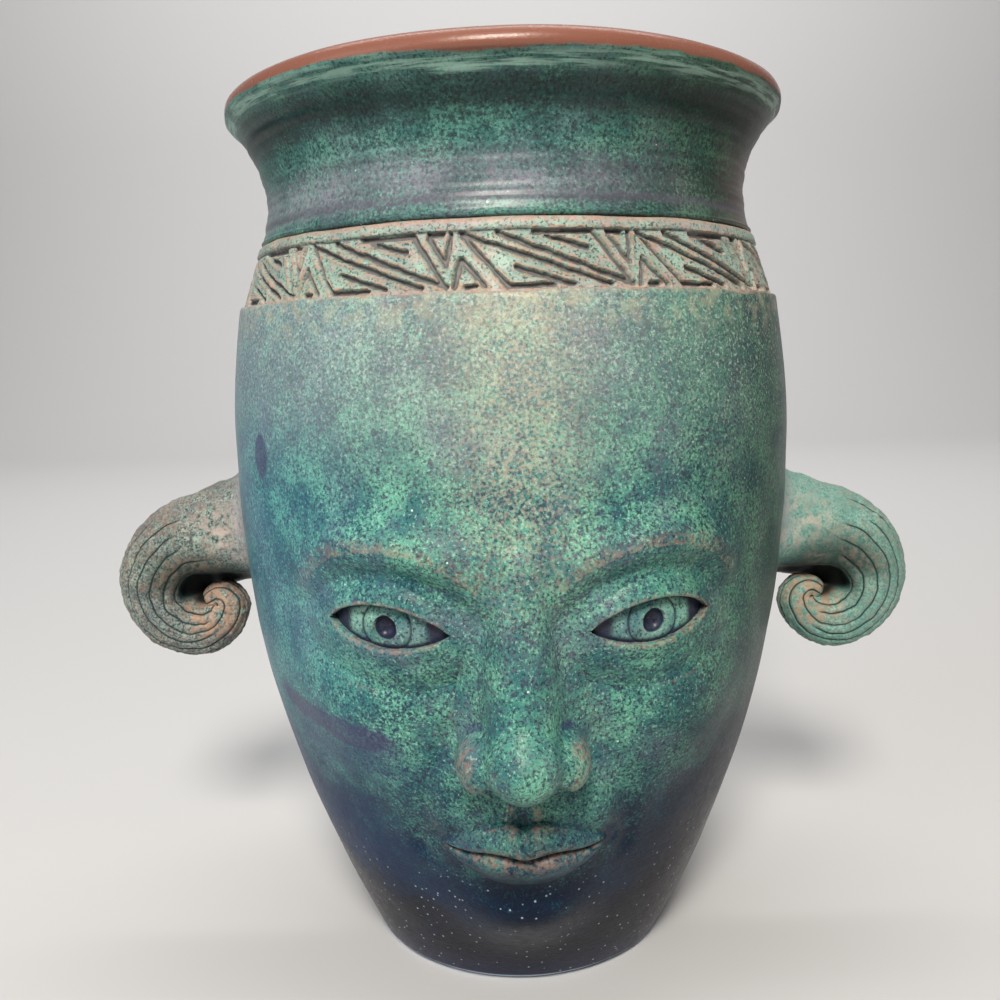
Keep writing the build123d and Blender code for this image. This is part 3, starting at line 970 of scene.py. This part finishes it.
def fret_cut(turn, z, spot):
    """How deep the fret is cut, from 0 to 1, and the burr thrown up beside it."""
    repeat_length = tau * (band_foot_radius - band_step) / fret_repeats
    start = radians(fret_start_angle)
    along = ((turn - start) * fret_repeats / tau) % 1.0
    shake_x, shake_z = 0.22 * grain(spot, 5.0, 11), 0.2 * grain(spot, 4.0, 12)
    ragged = 0.16 * grain(spot, 1.6, 13)
    flat = stroke_width / 5 * (1 + 0.6 * grain(spot, 9.0, 14))
    cut, burr = np.zeros_like(z), np.zeros_like(z)
    for (start_share, low_share), (end_share, high_share) in fret_stroke_shares:
        a = np.array([start_share * repeat_length, low_share * fret_height])
        b = np.array([end_share * repeat_length, high_share * fret_height])
        run = b - a
        for lap in (0, 1):
            x = (along + lap) * repeat_length - a[0] + shake_x
            up = z - shoulder_z - a[1] + shake_z
            share = np.clip((x * run[0] + up * run[1]) / (run @ run), 0, 1)
            off = np.hypot(x - share * run[0], up - share * run[1]) + ragged
            above = (up * abs(run[0]) - x * run[1] * np.sign(run[0])) / np.linalg.norm(run)
            bevel = np.where(above > 0, upper_bevel, lower_bevel)
            cut = np.maximum(cut, 1 - smoothstep(off, flat, flat + bevel))
            burr = np.maximum(burr, hump(off - flat - bevel, burr_off, burr_half_width))
    return cut, burr * (1 - cut)


def band_radius(z):
    """Outer radius of the band before it is carved."""
    rise = (z - shoulder_z) / band_height
    return band_foot_radius + (collar_foot_radius - band_foot_radius) * rise


def make_band():
    columns, rows = 1500, 59
    low_z, top_z = shoulder_z - wall_lap, collar_z + collar_lap
    turn, z = np.broadcast_arrays(full_turn(columns), np.linspace(low_z, top_z, rows)[:, None])
    across = turn * belly_radius
    spot = place(across, z, belly_radius)
    cut, burr = fret_cut(turn, z, spot)
    bead_z = collar_z - seam_round - bead_radius + bead_half_flat
    bead_z = bead_z + bead_wave * grain(spot * (1, 1, 0), 16, 15)
    off = np.maximum(np.abs(z - bead_z) - bead_half_flat, 0)
    bead = np.sqrt(np.clip(bead_radius ** 2 - off ** 2, 0, None))
    groove = hump(z - bead_z + bead_radius + groove_off, 0, groove_half_width)
    seam = smoothstep(z, bead_z + bead_radius + seam_from, bead_z + bead_radius + seam_full)
    radius = band_radius(z) - stroke_depth * cut + burr_height * burr + bead * bead_share
    radius = radius - groove_depth * groove - seam_depth * seam + 0.1 * grain(spot, 2.2, 16)
    inner_rows = [
        place(across[0], top_z, collar_foot_radius - collar_wall),
        place(across[0], low_z, wall_radius(shoulder_z) - wall + 0.1),
    ]
    grid = np.concatenate([place(across, z, radius), inner_rows])
    faces = grid_faces(len(grid), columns, wrap_rows=True, wrap_columns=True)
    marks = np.maximum(np.maximum(cut, 0.8 * groove), seam)
    inner = np.arange(len(grid))[:, None] + 0 * turn[0] >= rows
    add_piece("carved_band", grid, faces, glazes["band"], spread=1.0, marks=marks,
              inner=inner)


# Flared collar, round the whole of its wall: foot, neck, flare, lip, inside
outer_rise, inner_rise = 0.45, 0.8
lip_rows_inside = 9
drawn_radius = 7
coarse_line, fine_line = 0.2, 0.26
rim_wave_height, rim_tilt = 0.45, 0.7


def collar_profile():
    """Radius and height of the collar's rows, and how many of them are outside."""
    rim_low_z = height - lip_height
    rim_rise = rim_low_z - neck_z
    rim_radius = flare_centre_radius - sqrt(flare_radius ** 2 - rim_rise ** 2)
    inner_rim_radius = flare_centre_radius - sqrt((flare_radius + collar_wall) ** 2 - rim_rise ** 2)
    lip_half = (rim_radius - inner_rim_radius) / 2
    lip_round = (lip_half ** 2 + lip_height ** 2) / (2 * lip_height)
    lip_z = height - lip_round
    open_angle = asin((lip_z - rim_low_z) / lip_round)
    profile = []
    for step in np.linspace(0, pi / 2, 6):
        radius = collar_foot_radius - seam_round * (1 - sin(step))
        profile.append((radius, collar_z + seam_round * (1 - cos(step))))
    for z in np.arange(collar_z + seam_round + outer_rise, rim_low_z, outer_rise):
        profile.append((flare_centre_radius - sqrt(flare_radius ** 2 - (z - neck_z) ** 2), z))
    for step in np.linspace(-open_angle, pi + open_angle, 22):
        profile.append((rim_radius - lip_half + lip_round * cos(step), lip_z + lip_round * sin(step)))
    outer_rows = len(profile) - lip_rows_inside

    # Inside, a smooth curve through the radii at the rim, the neck and the foot
    foot = (collar_z, collar_foot_radius - collar_wall)
    knots = [(rim_low_z, inner_rim_radius), (neck_z, neck_radius - collar_wall), foot]
    for z in np.arange(rim_low_z - inner_rise, collar_z, -inner_rise):
        shares = [np.prod([(z - b) / (a - b) for b, _ in knots if b != a]) for a, _ in knots]
        profile.append((sum(r * share for (_, r), share in zip(knots, shares)), z))
    profile.append(foot[::-1])
    return np.array(profile), outer_rows


def make_collar():
    columns = 320
    turn = full_turn(columns)
    profile, outer_rows = collar_profile()
    radius, z = profile[:, :1] + 0 * turn, profile[:, 1:] + 0 * turn

    # Throwing lines run level, so their noise is read close round the pot's axis
    drawn = np.stack(np.broadcast_arrays(drawn_radius * np.cos(turn), drawn_radius * np.sin(turn), z), -1)
    away = smoothstep(z, collar_z + 0.5, collar_z + 4)
    lines = coarse_line * grain(drawn * (0.25, 0.25, 1), 1.7, 21) + fine_line * grain(drawn, 5.5, 22)
    lines = lines * away
    rim_low_z = height - lip_height
    radius = radius + lines * (1 - 0.5 * smoothstep(z, rim_low_z, rim_low_z + 2))
    rim_wave = rim_wave_height * grain(drawn * (4, 4, 0), 16, 23) + rim_tilt * (1 + np.cos(turn))
    z = z + rim_wave * smoothstep(z, neck_z, height)
    grid = place(turn * belly_radius, z, radius)
    faces = grid_faces(len(grid), columns, wrap_rows=True, wrap_columns=True)
    inner = np.arange(len(grid))[:, None] + 0 * turn >= outer_rows
    add_piece("flared_collar", grid, faces, glazes["collar"], spread=2.0, inner=inner)


# Glaze
def paint(red, green, blue):
    """A colour as it looks on a screen, from 0 to 255, made ready for the shader."""
    def plain(value):
        share = value / 255
        return share / 12.92 if share <= 0.04045 else ((share + 0.055) / 1.055) ** 2.4
    return (plain(red), plain(green), plain(blue), 1.0)


class Value:
    """A number in a glaze's node tree, which takes plain arithmetic."""

    def __init__(self, glaze, socket):
        self.glaze, self.socket = glaze, socket

    def __add__(self, other):
        return self.glaze.math("ADD", self, other)

    def __sub__(self, other):
        return self.glaze.math("SUBTRACT", self, other)

    def __mul__(self, other):
        return self.glaze.math("MULTIPLY", self, other)

    def __pow__(self, power):
        return self.glaze.math("POWER", self, power)

    def size(self):
        return self.glaze.math("ABSOLUTE", self)

    def step(self, low, high, share=1.0):
        """0 at low, share at high, smooth between."""
        values = {"Value": self, "From Min": low, "From Max": high, "To Max": share}
        made = self.glaze.node("ShaderNodeMapRange", values, interpolation_type="SMOOTHSTEP")
        return Value(self.glaze, made.outputs["Result"])

    def near(self, middle, reach, share=1.0):
        """share at the middle value, 0 from reach away on."""
        return (self - middle).size().step(reach, 0.0, share)


class Glaze:
    """One glaze: layers of colour over the clay, placed by mm in the part's frame.

    colour is what the layers have come to so far, and gloss its roughness.
    """

    def __init__(self, name):
        self.material = bpy.data.materials.new(name)
        self.material.use_nodes = True
        self.tree = self.material.node_tree
        self.tree.nodes.clear()
        self.spot = self.node("ShaderNodeTexCoord").outputs["Object"]
        parts = self.node("ShaderNodeSeparateXYZ", {0: self.spot}).outputs
        self.x, self.y, self.z = (Value(self, parts[axis]) * (1 / MM) for axis in "XYZ")
        self.colour = self.gloss = None

    def node(self, kind, inputs=None, **settings):
        made = self.tree.nodes.new(kind)
        for key, value in settings.items():
            setattr(made, key, value)
        for key, value in (inputs or {}).items():
            value = value.socket if isinstance(value, Value) else value
            if isinstance(value, bpy.types.NodeSocket):
                self.tree.links.new(value, made.inputs[key])
            else:
                made.inputs[key].default_value = value
        return made

    def math(self, operation, *values):
        made = self.node("ShaderNodeMath", dict(enumerate(values)), operation=operation)
        return Value(self, made.outputs[0])

    def larger(self, one, other):
        return self.math("MAXIMUM", one, other)

    def mark(self, name):
        return Value(self, self.node("ShaderNodeAttribute", attribute_name=name).outputs["Fac"])

    def scaled(self, size, shift, stretch=(1, 1, 1)):
        """The place on the clay, in cells of size mm."""
        scale = [1 / (size * MM * s) for s in stretch]
        values = {"Vector": self.spot, "Scale": scale, "Location": shift}
        return self.node("ShaderNodeMapping", values).outputs[0]

    def noise(self, size, detail=3.0, seed=0, stretch=(1, 1, 1), rough=0.55):
        """Noise from 0 to 1 with lumps of size mm, stretched along the axes."""
        spot = self.scaled(size, (seed * 3.7, seed * 1.3, seed * 2.1), stretch)
        values = {"Vector": spot, "Scale": 1.0, "Detail": detail, "Roughness": rough}
        return Value(self, self.node("ShaderNodeTexNoise", values).outputs["Fac"])

    def wander(self, reach, size, detail=3.0, seed=0, stretch=(1, 1, 1)):
        """Noise round zero that makes an edge wander by up to half its reach."""
        return (self.noise(size, detail, seed, stretch) - 0.5) * reach

    def dots(self, spacing, radius, seed):
        """1 inside small round dots, about one in each cube of spacing mm."""
        spot = self.scaled(spacing, (seed, seed, seed))
        cells = self.node("ShaderNodeTexVoronoi", {"Vector": spot, "Scale": 1.0})
        return Value(self, cells.outputs["Distance"]).step(radius / spacing, radius / spacing * 0.5)

    def off(self, x, z, across=1.0, up=1.0, side=None):
        """Distance in mm from a place in front view, stretched across or up."""
        side = side or self.x
        return self.math("SQRT", ((side - x) * (1 / across)) ** 2 + ((self.z - z) * (1 / up)) ** 2, 0.0)

    def mix(self, share, under, over, how="MIX"):
        inputs = {0: share, 6: under, 7: over}
        return self.node("ShaderNodeMix", inputs, data_type="RGBA", blend_type=how).outputs[2]

    def lay(self, share, colour):
        """Lays a colour over the layers below it."""
        self.colour = self.mix(share, self.colour, colour)

    def stain(self, share, colour):
        """Colours the layers below and keeps their mottle."""
        self.colour = self.mix(share, self.colour, colour, "MULTIPLY")


# Colours that several glazes share
teal = paint(40, 104, 106)
mint = paint(106, 172, 146)
pale_mint = paint(176, 212, 194)
white_mint = paint(196, 220, 204)
deep = paint(20, 50, 52)
slate = paint(44, 58, 80)
lavender = paint(112, 108, 128)
film = paint(144, 150, 162)
violet = paint(46, 40, 86)
bronze = paint(172, 138, 118)
cream = paint(190, 178, 150)
shade = paint(26, 32, 36)
lining = paint(58, 40, 38)
black = paint(14, 18, 20)


def fired_glaze(name, light=mint, dark=teal, ground=slate, cover=0.64, haze=0.4, breaks_and_highlight=0.4,
                gloss=0.44, coat=0.06, flecks=0.5, streaks=0.0, edges=(0.12, 0.6),
                pools=(-0.12, -0.7), pooled=shade, thin=None, zones=None):
    """Mint crystals that float in fine clumps on a dark glaze and leave it bare in places.

    cover is how much the crystals hide, haze how much lavender drifts in the dark
    glaze, flecks how pale the largest crystals are, streaks how far they follow the
    throwing lines, and breaks_and_highlight how strongly raised edges turn bronze, which is
    a glaze break with a painted highlight over it. edges and pools are the mm proud at
    which bronze, and the mm deep at which violet, begins and is full. pooled is the
    colour of what is cut. thin changes the cover from place to place, and zones lays
    local colours over all.
    """
    g = Glaze(name)
    fine = g.noise(0.92, 3, 3, rough=0.65)
    clumps = g.noise(2.4, 3, 2, rough=0.6)
    covering = g.wander(0.4, 30, 3, 1) + cover
    if thin:
        covering = thin(g, covering)
    if streaks:
        covering = covering + g.wander(streaks, 2.2, 3, 5, stretch=(12, 12, 0.6))
    crystals = (fine * 0.66 + clumps * 0.34 + covering * 0.42).step(0.645, 0.835)
    under = g.mix(g.noise(24, 3, 6).step(0.42, 0.68, haze), ground, lavender)
    under = g.mix(fine.step(0.40, 0.62, 0.5), under, dark)
    grown = g.mix(g.noise(11, 4, 7).step(0.30, 0.72), dark, light)
    g.colour = g.mix(crystals, under, grown)
    g.lay(g.noise(26, 4, 21).step(0.45, 0.7, haze * 0.7), film)
    g.lay(g.noise(0.8, 2, 4).step(0.475, 0.365, 0.8), deep)
    g.lay(fine.step(0.58, 0.68, flecks) * crystals, pale_mint)
    g.lay(g.dots(9, 0.42, 3), white_mint)
    g.gloss = (clumps - 0.5) * 0.3 + gloss
    if zones:
        zones(g)

    proud, outside = g.mark("proud"), g.mark("inner").step(1, 0)
    # Bronze on raised edges: a glaze break, partly a painted highlight from a warm light
    g.lay(proud.step(*edges, breaks_and_highlight) * g.noise(1.8, 4, 8).step(0.38, 0.6) * outside, bronze)
    g.lay(proud.step(*pools, 0.75) * outside, violet)
    g.lay(g.mark("cut").step(0.25, 0.85, 0.93), pooled)

    lines = g.noise(0.8, 2, 9, stretch=(16, 16, 1))
    height_of_grain = fine * 0.5 + g.noise(0.5, 2, 10) * 0.25 + lines * 0.3
    values = {"Height": height_of_grain, "Strength": 0.7, "Distance": 0.25 * MM}
    relief = g.node("ShaderNodeBump", values)
    shader = g.node("ShaderNodeBsdfPrincipled", {
        "Base Color": g.colour,
        "Roughness": g.gloss,
        "Normal": relief.outputs[0],
        "Specular IOR Level": 0.18,
        "Specular Tint": paint(255, 242, 230),
        "Coat Weight": coat,
        "Coat Roughness": 0.28,
        "Sheen Weight": 0.02,
        "Sheen Roughness": 0.35,
        "Sheen Tint": paint(206, 196, 228),
    })
    g.node("ShaderNodeOutputMaterial", {"Surface": shader.outputs[0]})
    return g.material


# Local colours. In each of these functions g is the glaze in the making.
def foot_height(g):
    """Height over the dark glaze's edge, which runs lower under the mouth and to the left."""
    aside = g.larger(g.x.step(10, 72), g.x.step(-16, -80, 0.55))
    behind = g.y.step(-20, 30, 0.8)
    return g.z - g.larger(aside, behind) * 30


def body_thin(g, cover):
    """The crystals thin out in patches towards the foot."""
    ragged = g.wander(60, 18, 5, 9) + g.wander(70, 6, 4, 25)
    return cover - (foot_height(g) + ragged).step(70, 16, 0.8)


def body_tints_and_side_light(g):
    """Blue to the left and olive to the right: partly the glaze's own tint, partly painted light, a cool
    cast on the left and painted shade on the right.
    """
    # Painted light: a cool blue cast over the left side, and painted shade in olive over the right side
    g.stain(g.x.step(-20, -100, 0.8), paint(170, 224, 255))
    g.stain(g.x.step(20, 98, 0.9), paint(138, 144, 114))
    g.lay(g.x.step(-24, -84, 0.12), paint(110, 176, 210))


def body_foot(g):
    """A near-black foot that rises through deep blue, with pale pinholes."""
    level = foot_height(g) + g.wander(50, 20, 5, 11)
    dark_foot = level.step(42, 20)
    pinholes = g.z.step(64, 40) * g.dots(2.9, 0.46, 7)
    g.stain(level.step(96, 46), paint(52, 108, 150))
    g.lay(level.step(80, 50, 0.45) * g.x.step(0, -50), paint(12, 52, 92))
    g.lay(dark_foot * 0.96, paint(8, 14, 28))
    g.lay(g.z.step(16, 3, 0.5), paint(30, 36, 70))
    g.lay(pinholes, paint(160, 178, 186))
    g.gloss = g.gloss - dark_foot * 0.08


def body_brow_and_sheen(g):
    """Painted sheen, grey on each side and a pale wash over the brow; the brow's own dark and pale grains;
    and painted highlights, cream down the middle and under the band's ledge.
    """
    # Painted sheen: grey on each side of the face, where the wall turns away
    flank_sheen = g.x.size().step(80, 99, 0.36) * g.z.step(60, 110)
    g.lay(flank_sheen, paint(132, 138, 148))

    brow = g.z.step(165, 212)
    dark_grains = g.noise(0.9, 3, 27).step(0.52, 0.38, 0.6)
    pale_grains = g.noise(1.0, 3, 28).step(0.55, 0.68, 0.4)
    # Painted light from above and the left: a pale wash over the brow
    g.lay(brow * g.x.step(100, -10, 0.3), paint(184, 178, 178))
    g.lay(brow * dark_grains, paint(66, 104, 96))
    g.lay(brow * pale_grains, paint(200, 216, 202))
    # Painted highlight: cream down the front middle of the face
    middle = g.x.near(1, 30, 0.42) * g.z.step(120, 185) * g.y.step(0, -60)
    g.lay(middle * g.noise(1.0, 3, 22).step(0.4, 0.62), paint(204, 190, 160))
    # Painted highlight: cream patches under the band's ledge
    under_band_highlight = g.z.step(210, 224, 0.6) * g.noise(5, 4, 10).step(0.45, 0.62, 0.5)
    g.lay(under_band_highlight, cream)


def body_runs(g):
    """A purple drop and, lower down, a slanting purple run over a blue pool."""
    drop_x, drop_z = -76.6, 182.5
    run_x, run_z, run_fall = -57, 100, 0.14
    front = g.y.step(0, -30)
    drop = (g.off(drop_x, drop_z, 2.5, 6.5) + (g.z - drop_z) * 0.04).step(1.15, 0.8)
    over_run = g.z - run_z + (g.x + 56) * run_fall + g.wander(9, 12, 3, 26)
    run = (over_run.near(0, 7.5) * g.x.near(run_x, 34) + g.wander(0.5, 2.6, 4, 29)).step(0.12, 0.5)
    pool = (over_run + 9).near(0, 13) * g.x.near(-50, 34)
    g.lay(front * pool * 0.6, paint(30, 54, 92))
    g.lay(front * (drop + run).step(0, 1, 0.7), paint(62, 58, 96))


def body_zones(g):
    """All that the body's glaze has, then its pale foot line, the bare edge with a painted highlight on it,
    and its brown lining.
    """
    for zone in (body_tints_and_side_light, body_foot, body_brow_and_sheen, body_runs):
        zone(g)
    # The pale foot line: the glaze's bare edge with a painted highlight along it
    g.lay(g.z.step(3.0, 1.8), paint(186, 202, 222))
    g.lay(g.mark("inner"), lining)


def band_zones(g):
    """Pink-bronze in patches over the band; on the bead's front and along the band's lower edge it is a
    painted highlight.
    """
    # Painted highlight: pink on the bead, fading away from the front, and along the band's lower edge
    ahead = g.x.size().step(86, 20) * g.y.step(0, -60)
    bead = g.z.near(collar_z - seam_round - bead_radius + 1.4, 1.9, 0.75) * ahead
    lower_edge_highlight = g.z.near(shoulder_z, 2.5, 0.7)
    patches = g.noise(6, 4, 11).step(0.5, 0.66, 0.55)
    # The painted highlights joined with the glaze's own warm patches
    warm = g.larger(bead + lower_edge_highlight, patches) * g.noise(1.6, 3, 12).step(0.3, 0.6)
    g.lay(warm, paint(188, 152, 144))
    g.lay(g.mark("inner"), lining)


# Heights of the dark belt under the lip and of the bare neck
belt_z = 277.0
bare_neck_z = 256.0


def collar_thin(g, cover):
    """The crystals leave the belt and the neck dark, and thicken under the lip."""
    ragged = g.wander(9, 10, 4, 9, stretch=(2, 2, 0.6))
    belt = (g.z + ragged).near(belt_z - 0.5, 7, 0.2)
    neck = (g.z + ragged).near(bare_neck_z, 10, 0.2) * g.noise(40, 2, 17).step(0.3, 0.65)
    return cover - belt - neck + g.z.step(280, 284, 0.2)


def collar_zones(g):
    """Lavender where the neck is bare, partly a painted sheen on the left; painted shade in olive and mauve
    to the right, with a painted sheen along the right edge; a copper lip with a ragged edge.
    """
    height_here = g.z + g.wander(8, 9, 4, 12)
    grit = g.noise(1.0, 3, 19).step(0.36, 0.6)
    belt = height_here.near(belt_z, 9.5)
    g.lay(belt * g.noise(1.1, 3, 24).step(0.44, 0.6, 0.4), paint(74, 128, 116))
    g.stain(belt, paint(110, 134, 136))
    # Painted shade: olive, then mauve, darkens the right side
    g.stain(g.x.step(0, 70), paint(196, 190, 168))
    g.stain(g.x.step(50, 100), paint(190, 158, 158))
    # The bare neck's lavender, laid on the left only, is partly a painted sheen
    neck = height_here.near(bare_neck_z, 12, 0.8) * g.noise(34, 3, 14).step(0.3, 0.56)
    g.lay(neck * g.x.step(60, 0) * (grit * 0.5 + 0.3), paint(146, 142, 154))
    # Painted sheen along the collar's right edge
    g.lay(g.x.step(56, 84, 0.6) * g.z.step(276, 262), paint(124, 104, 102))
    g.lay((g.z + g.wander(2, 14, 3, 18)).near(251.5, 2.2, 0.55), paint(88, 82, 96))

    droop = g.x.near(-4, 34, 1.7) * g.y.step(0, -80)
    edge = g.z + g.wander(2.6, 16, 5, 11) + droop
    streaky = g.noise(0.8, 3, 15, stretch=(18, 18, 1)).step(0.42, 0.6)
    g.lay(edge.near(284.2, 2.8, 0.5) * streaky, pale_mint)
    bare = g.larger(edge.step(286.0, 287.0), g.mark("inner"))
    g.lay(bare, paint(127, 82, 68))
    g.gloss = g.gloss - bare * 0.2


def ear_zones(g):
    """Bronze end and rough brown-grey edge; a painted sheen on the pale root and a peach arm, partly a
    painted highlight; painted shade, deep green to black, under the arm and in the hollow inside the curl.
    """
    side = g.x.size()
    off_curl = g.off(curl_x, right_curl_z, side=side)
    broken = g.noise(2.6, 4, 13).step(0.36, 0.6)
    left = g.x.step(0, -90)
    edge = (off_curl + g.wander(8, 9, 3, 14)).step(27, 35, 0.5)
    g.lay(edge * broken, paint(124, 112, 108))
    g.lay(g.x.step(0, 90, 0.45), paint(104, 168, 154))
    g.stain(left, paint(250, 238, 240))
    g.stain(left * g.z.step(right_curl_z, right_curl_z - 20), paint(232, 224, 230))

    # Peach glaze on the arm's top, partly a painted highlight
    arm = g.z.near(right_curl_z + 27, 17, 0.75) * side.step(curl_x + 8, curl_x - 12)
    g.lay(arm * g.noise(9, 3, 20).step(0.3, 0.6) * broken, paint(194, 176, 164))
    # Painted shade under the arm
    under_arm_shade = off_curl.step(28, 15, 0.8) * g.z.step(right_curl_z + 2, right_curl_z + 10)
    g.lay(under_arm_shade, paint(30, 42, 38))
    # Painted sheen: pale lavender on the root
    root = (side + g.wander(8, 8, 3, 15)).step(103, 95)
    g.lay(root * g.z.step(134, 150, 0.45) * g.y.step(10, -8), paint(170, 166, 174))

    end = g.off(curl_x - 5, right_curl_z - 2, side=side) + g.wander(5, 5, 3, 16)
    hollow = g.mark("inner")
    g.lay(end.step(14, 7, 0.7) * broken, paint(182, 142, 116))
    # Painted shade in the hollow, deep green to black, and black near the curl's centre
    g.lay(hollow.step(0.05, 0.85, 0.75), deep)
    g.lay(hollow.step(0.5, 1.0, 0.93), black)
    g.lay(off_curl.step(8, 3, 0.95) * g.y.step(-6, -1), black)


glazes = {
    "body": fired_glaze("body_glaze", thin=body_thin, zones=body_zones),
    "band": fired_glaze(
        "band_glaze", paint(152, 178, 162), paint(128, 150, 138), paint(134, 138, 138),
        cover=0.72, flecks=0.3, breaks_and_highlight=0.75, edges=(0.05, 0.3),
        pooled=paint(104, 100, 98), zones=band_zones),
    "collar": fired_glaze(
        "collar_glaze", paint(88, 142, 126), paint(50, 102, 98), paint(42, 64, 66),
        cover=0.62, coat=0.25, flecks=0.2, haze=0.25, breaks_and_highlight=0.25, streaks=0.4,
        thin=collar_thin, zones=collar_zones),
    "ear": fired_glaze(
        "ear_glaze", paint(160, 188, 172), paint(108, 138, 128), paint(82, 92, 94),
        cover=0.6, haze=0.3, flecks=0.3, breaks_and_highlight=0.3, pools=(-4, -8),
        pooled=paint(42, 54, 52), zones=ear_zones),
    "eye": fired_glaze(
        "eye_glaze", paint(132, 180, 162), cover=0.85, gloss=0.34, coat=0.2,
        pooled=paint(30, 24, 54)),
}

# The pieces
make_wall()
make_nose()
for name, side, curl_z, seed in (("left", -1, left_curl_z, 31), ("right", 1, right_curl_z, 47)):
    make_eyeball(f"{name}_eyeball", side)
    make_lid(f"{name}_upper_lid", side, 1, upper_opening, upper_lid_thickness)
    make_lid(f"{name}_lower_lid", side, -1, lower_opening, lower_lid_thickness)
    make_ear(f"{name}_ear", side, curl_z, seed)
make_lip("upper_lip", 1, upper_lip_stand, upper_lip_height)
make_lip("lower_lip", -1, lower_lip_stand, lower_lip_height)
make_band()
make_collar()


# Pale floor that sweeps up behind into a backdrop, in metres as all of the studio
def make_sweep():
    half, near, bend, top, round_bend = 4.0, -2.5, 1.6, 3.0, 0.8
    roughness = 0.9
    outline = [(near, 0.0), (bend, 0.0)]
    for turn in np.linspace(0.1, pi / 2, 12):
        outline.append((bend + round_bend * sin(turn), round_bend * (1 - cos(turn))))
    outline.append((bend + round_bend, top))
    points = [(x, y, z) for y, z in outline for x in (-half, half)]
    faces = [(2 * i, 2 * i + 1, 2 * i + 3, 2 * i + 2) for i in range(len(outline) - 1)]
    mesh = bpy.data.meshes.new("studio_sweep")
    mesh.from_pydata(points, [], faces)
    mesh.shade_smooth()
    sweep = bpy.data.objects.new("studio_sweep", mesh)
    bpy.context.scene.collection.objects.link(sweep)
    paper = bpy.data.materials.new("studio_paper")
    paper.use_nodes = True
    shader = paper.node_tree.nodes["Principled BSDF"]
    shader.inputs["Base Color"].default_value = paint(198, 197, 196)
    shader.inputs["Roughness"].default_value = roughness
    mesh.materials.append(paper)


def soft_light(name, spot, target, size, power, colour):
    """A softbox at a spot, turned to its target."""
    lamp = bpy.data.lights.new(name, "AREA")
    lamp.shape = "RECTANGLE"
    lamp.size, lamp.size_y = size
    lamp.energy = power
    lamp.color = colour
    light = bpy.data.objects.new(name, lamp)
    light.location = spot
    light.rotation_euler = (Vector(target) - Vector(spot)).to_track_quat("-Z", "Y").to_euler()
    bpy.context.scene.collection.objects.link(light)


def light_air(strength, seen_strength):
    """Weak light from all round. The camera sees it as pale as the backdrop."""
    world = bpy.data.worlds.new("studio_air")
    world.use_nodes = True
    tree = world.node_tree
    background = tree.nodes["Background"]
    background.inputs["Color"].default_value = (0.9, 0.9, 0.92, 1)
    seen = tree.nodes.new("ShaderNodeMapRange")
    seen.inputs["To Min"].default_value = strength
    seen.inputs["To Max"].default_value = seen_strength
    tree.links.new(tree.nodes.new("ShaderNodeLightPath").outputs["Is Camera Ray"], seen.inputs["Value"])
    tree.links.new(seen.outputs["Result"], background.inputs["Strength"])
    bpy.context.scene.world = world


def set_camera():
    """A camera at the photograph's viewing angle."""
    focal_pixels, frame_pixels = 932.1, 1000.0
    spot = Vector((-4.58, -340.0, 211.3)) * MM
    pitch, roll, yaw = radians(9.28), radians(-1.589), radians(0.03)
    data = bpy.data.cameras.new("camera")
    data.sensor_width = 36.0
    data.lens = data.sensor_width * focal_pixels / frame_pixels
    data.clip_start = 0.01
    forward = Vector((sin(yaw) * cos(pitch), cos(yaw) * cos(pitch), -sin(pitch)))
    level = Vector((cos(yaw), -sin(yaw), 0))
    upright = level.cross(forward)
    right = level * cos(roll) + upright * sin(roll)
    up = upright * cos(roll) - level * sin(roll)
    turned = Matrix((right, up, -forward)).transposed().to_4x4()
    camera = bpy.data.objects.new("camera", data)
    camera.matrix_world = Matrix.Translation(spot) @ turned
    bpy.context.scene.collection.objects.link(camera)
    bpy.context.scene.camera = camera


make_sweep()
light_air(0.13, 0.62)
set_camera()
middle = (0, 0, 0.15)
warm, cool, white = (1.0, 0.95, 0.88), (0.86, 0.93, 1.0), (1, 1, 1)
soft_light("front_softbox", (-0.06, -0.85, 0.95), (0, 0, 0.17), (0.3, 0.3), 16, warm)
soft_light("left_softbox", (-1.1, -0.8, 0.75), middle, (0.8, 1.0), 5, cool)
soft_light("right_softbox", (1.3, -0.3, 0.7), middle, (0.8, 1.0), 0.6, warm)
soft_light("top_softbox", (0, 0.2, 1.5), middle, (1.2, 1.2), 3, white)
soft_light("backdrop_wash", (0, 0.6, 2.0), (0, 2.4, 0.7), (2.4, 0.5), 50, white)

bpy.context.scene.view_settings.view_transform = "Standard"
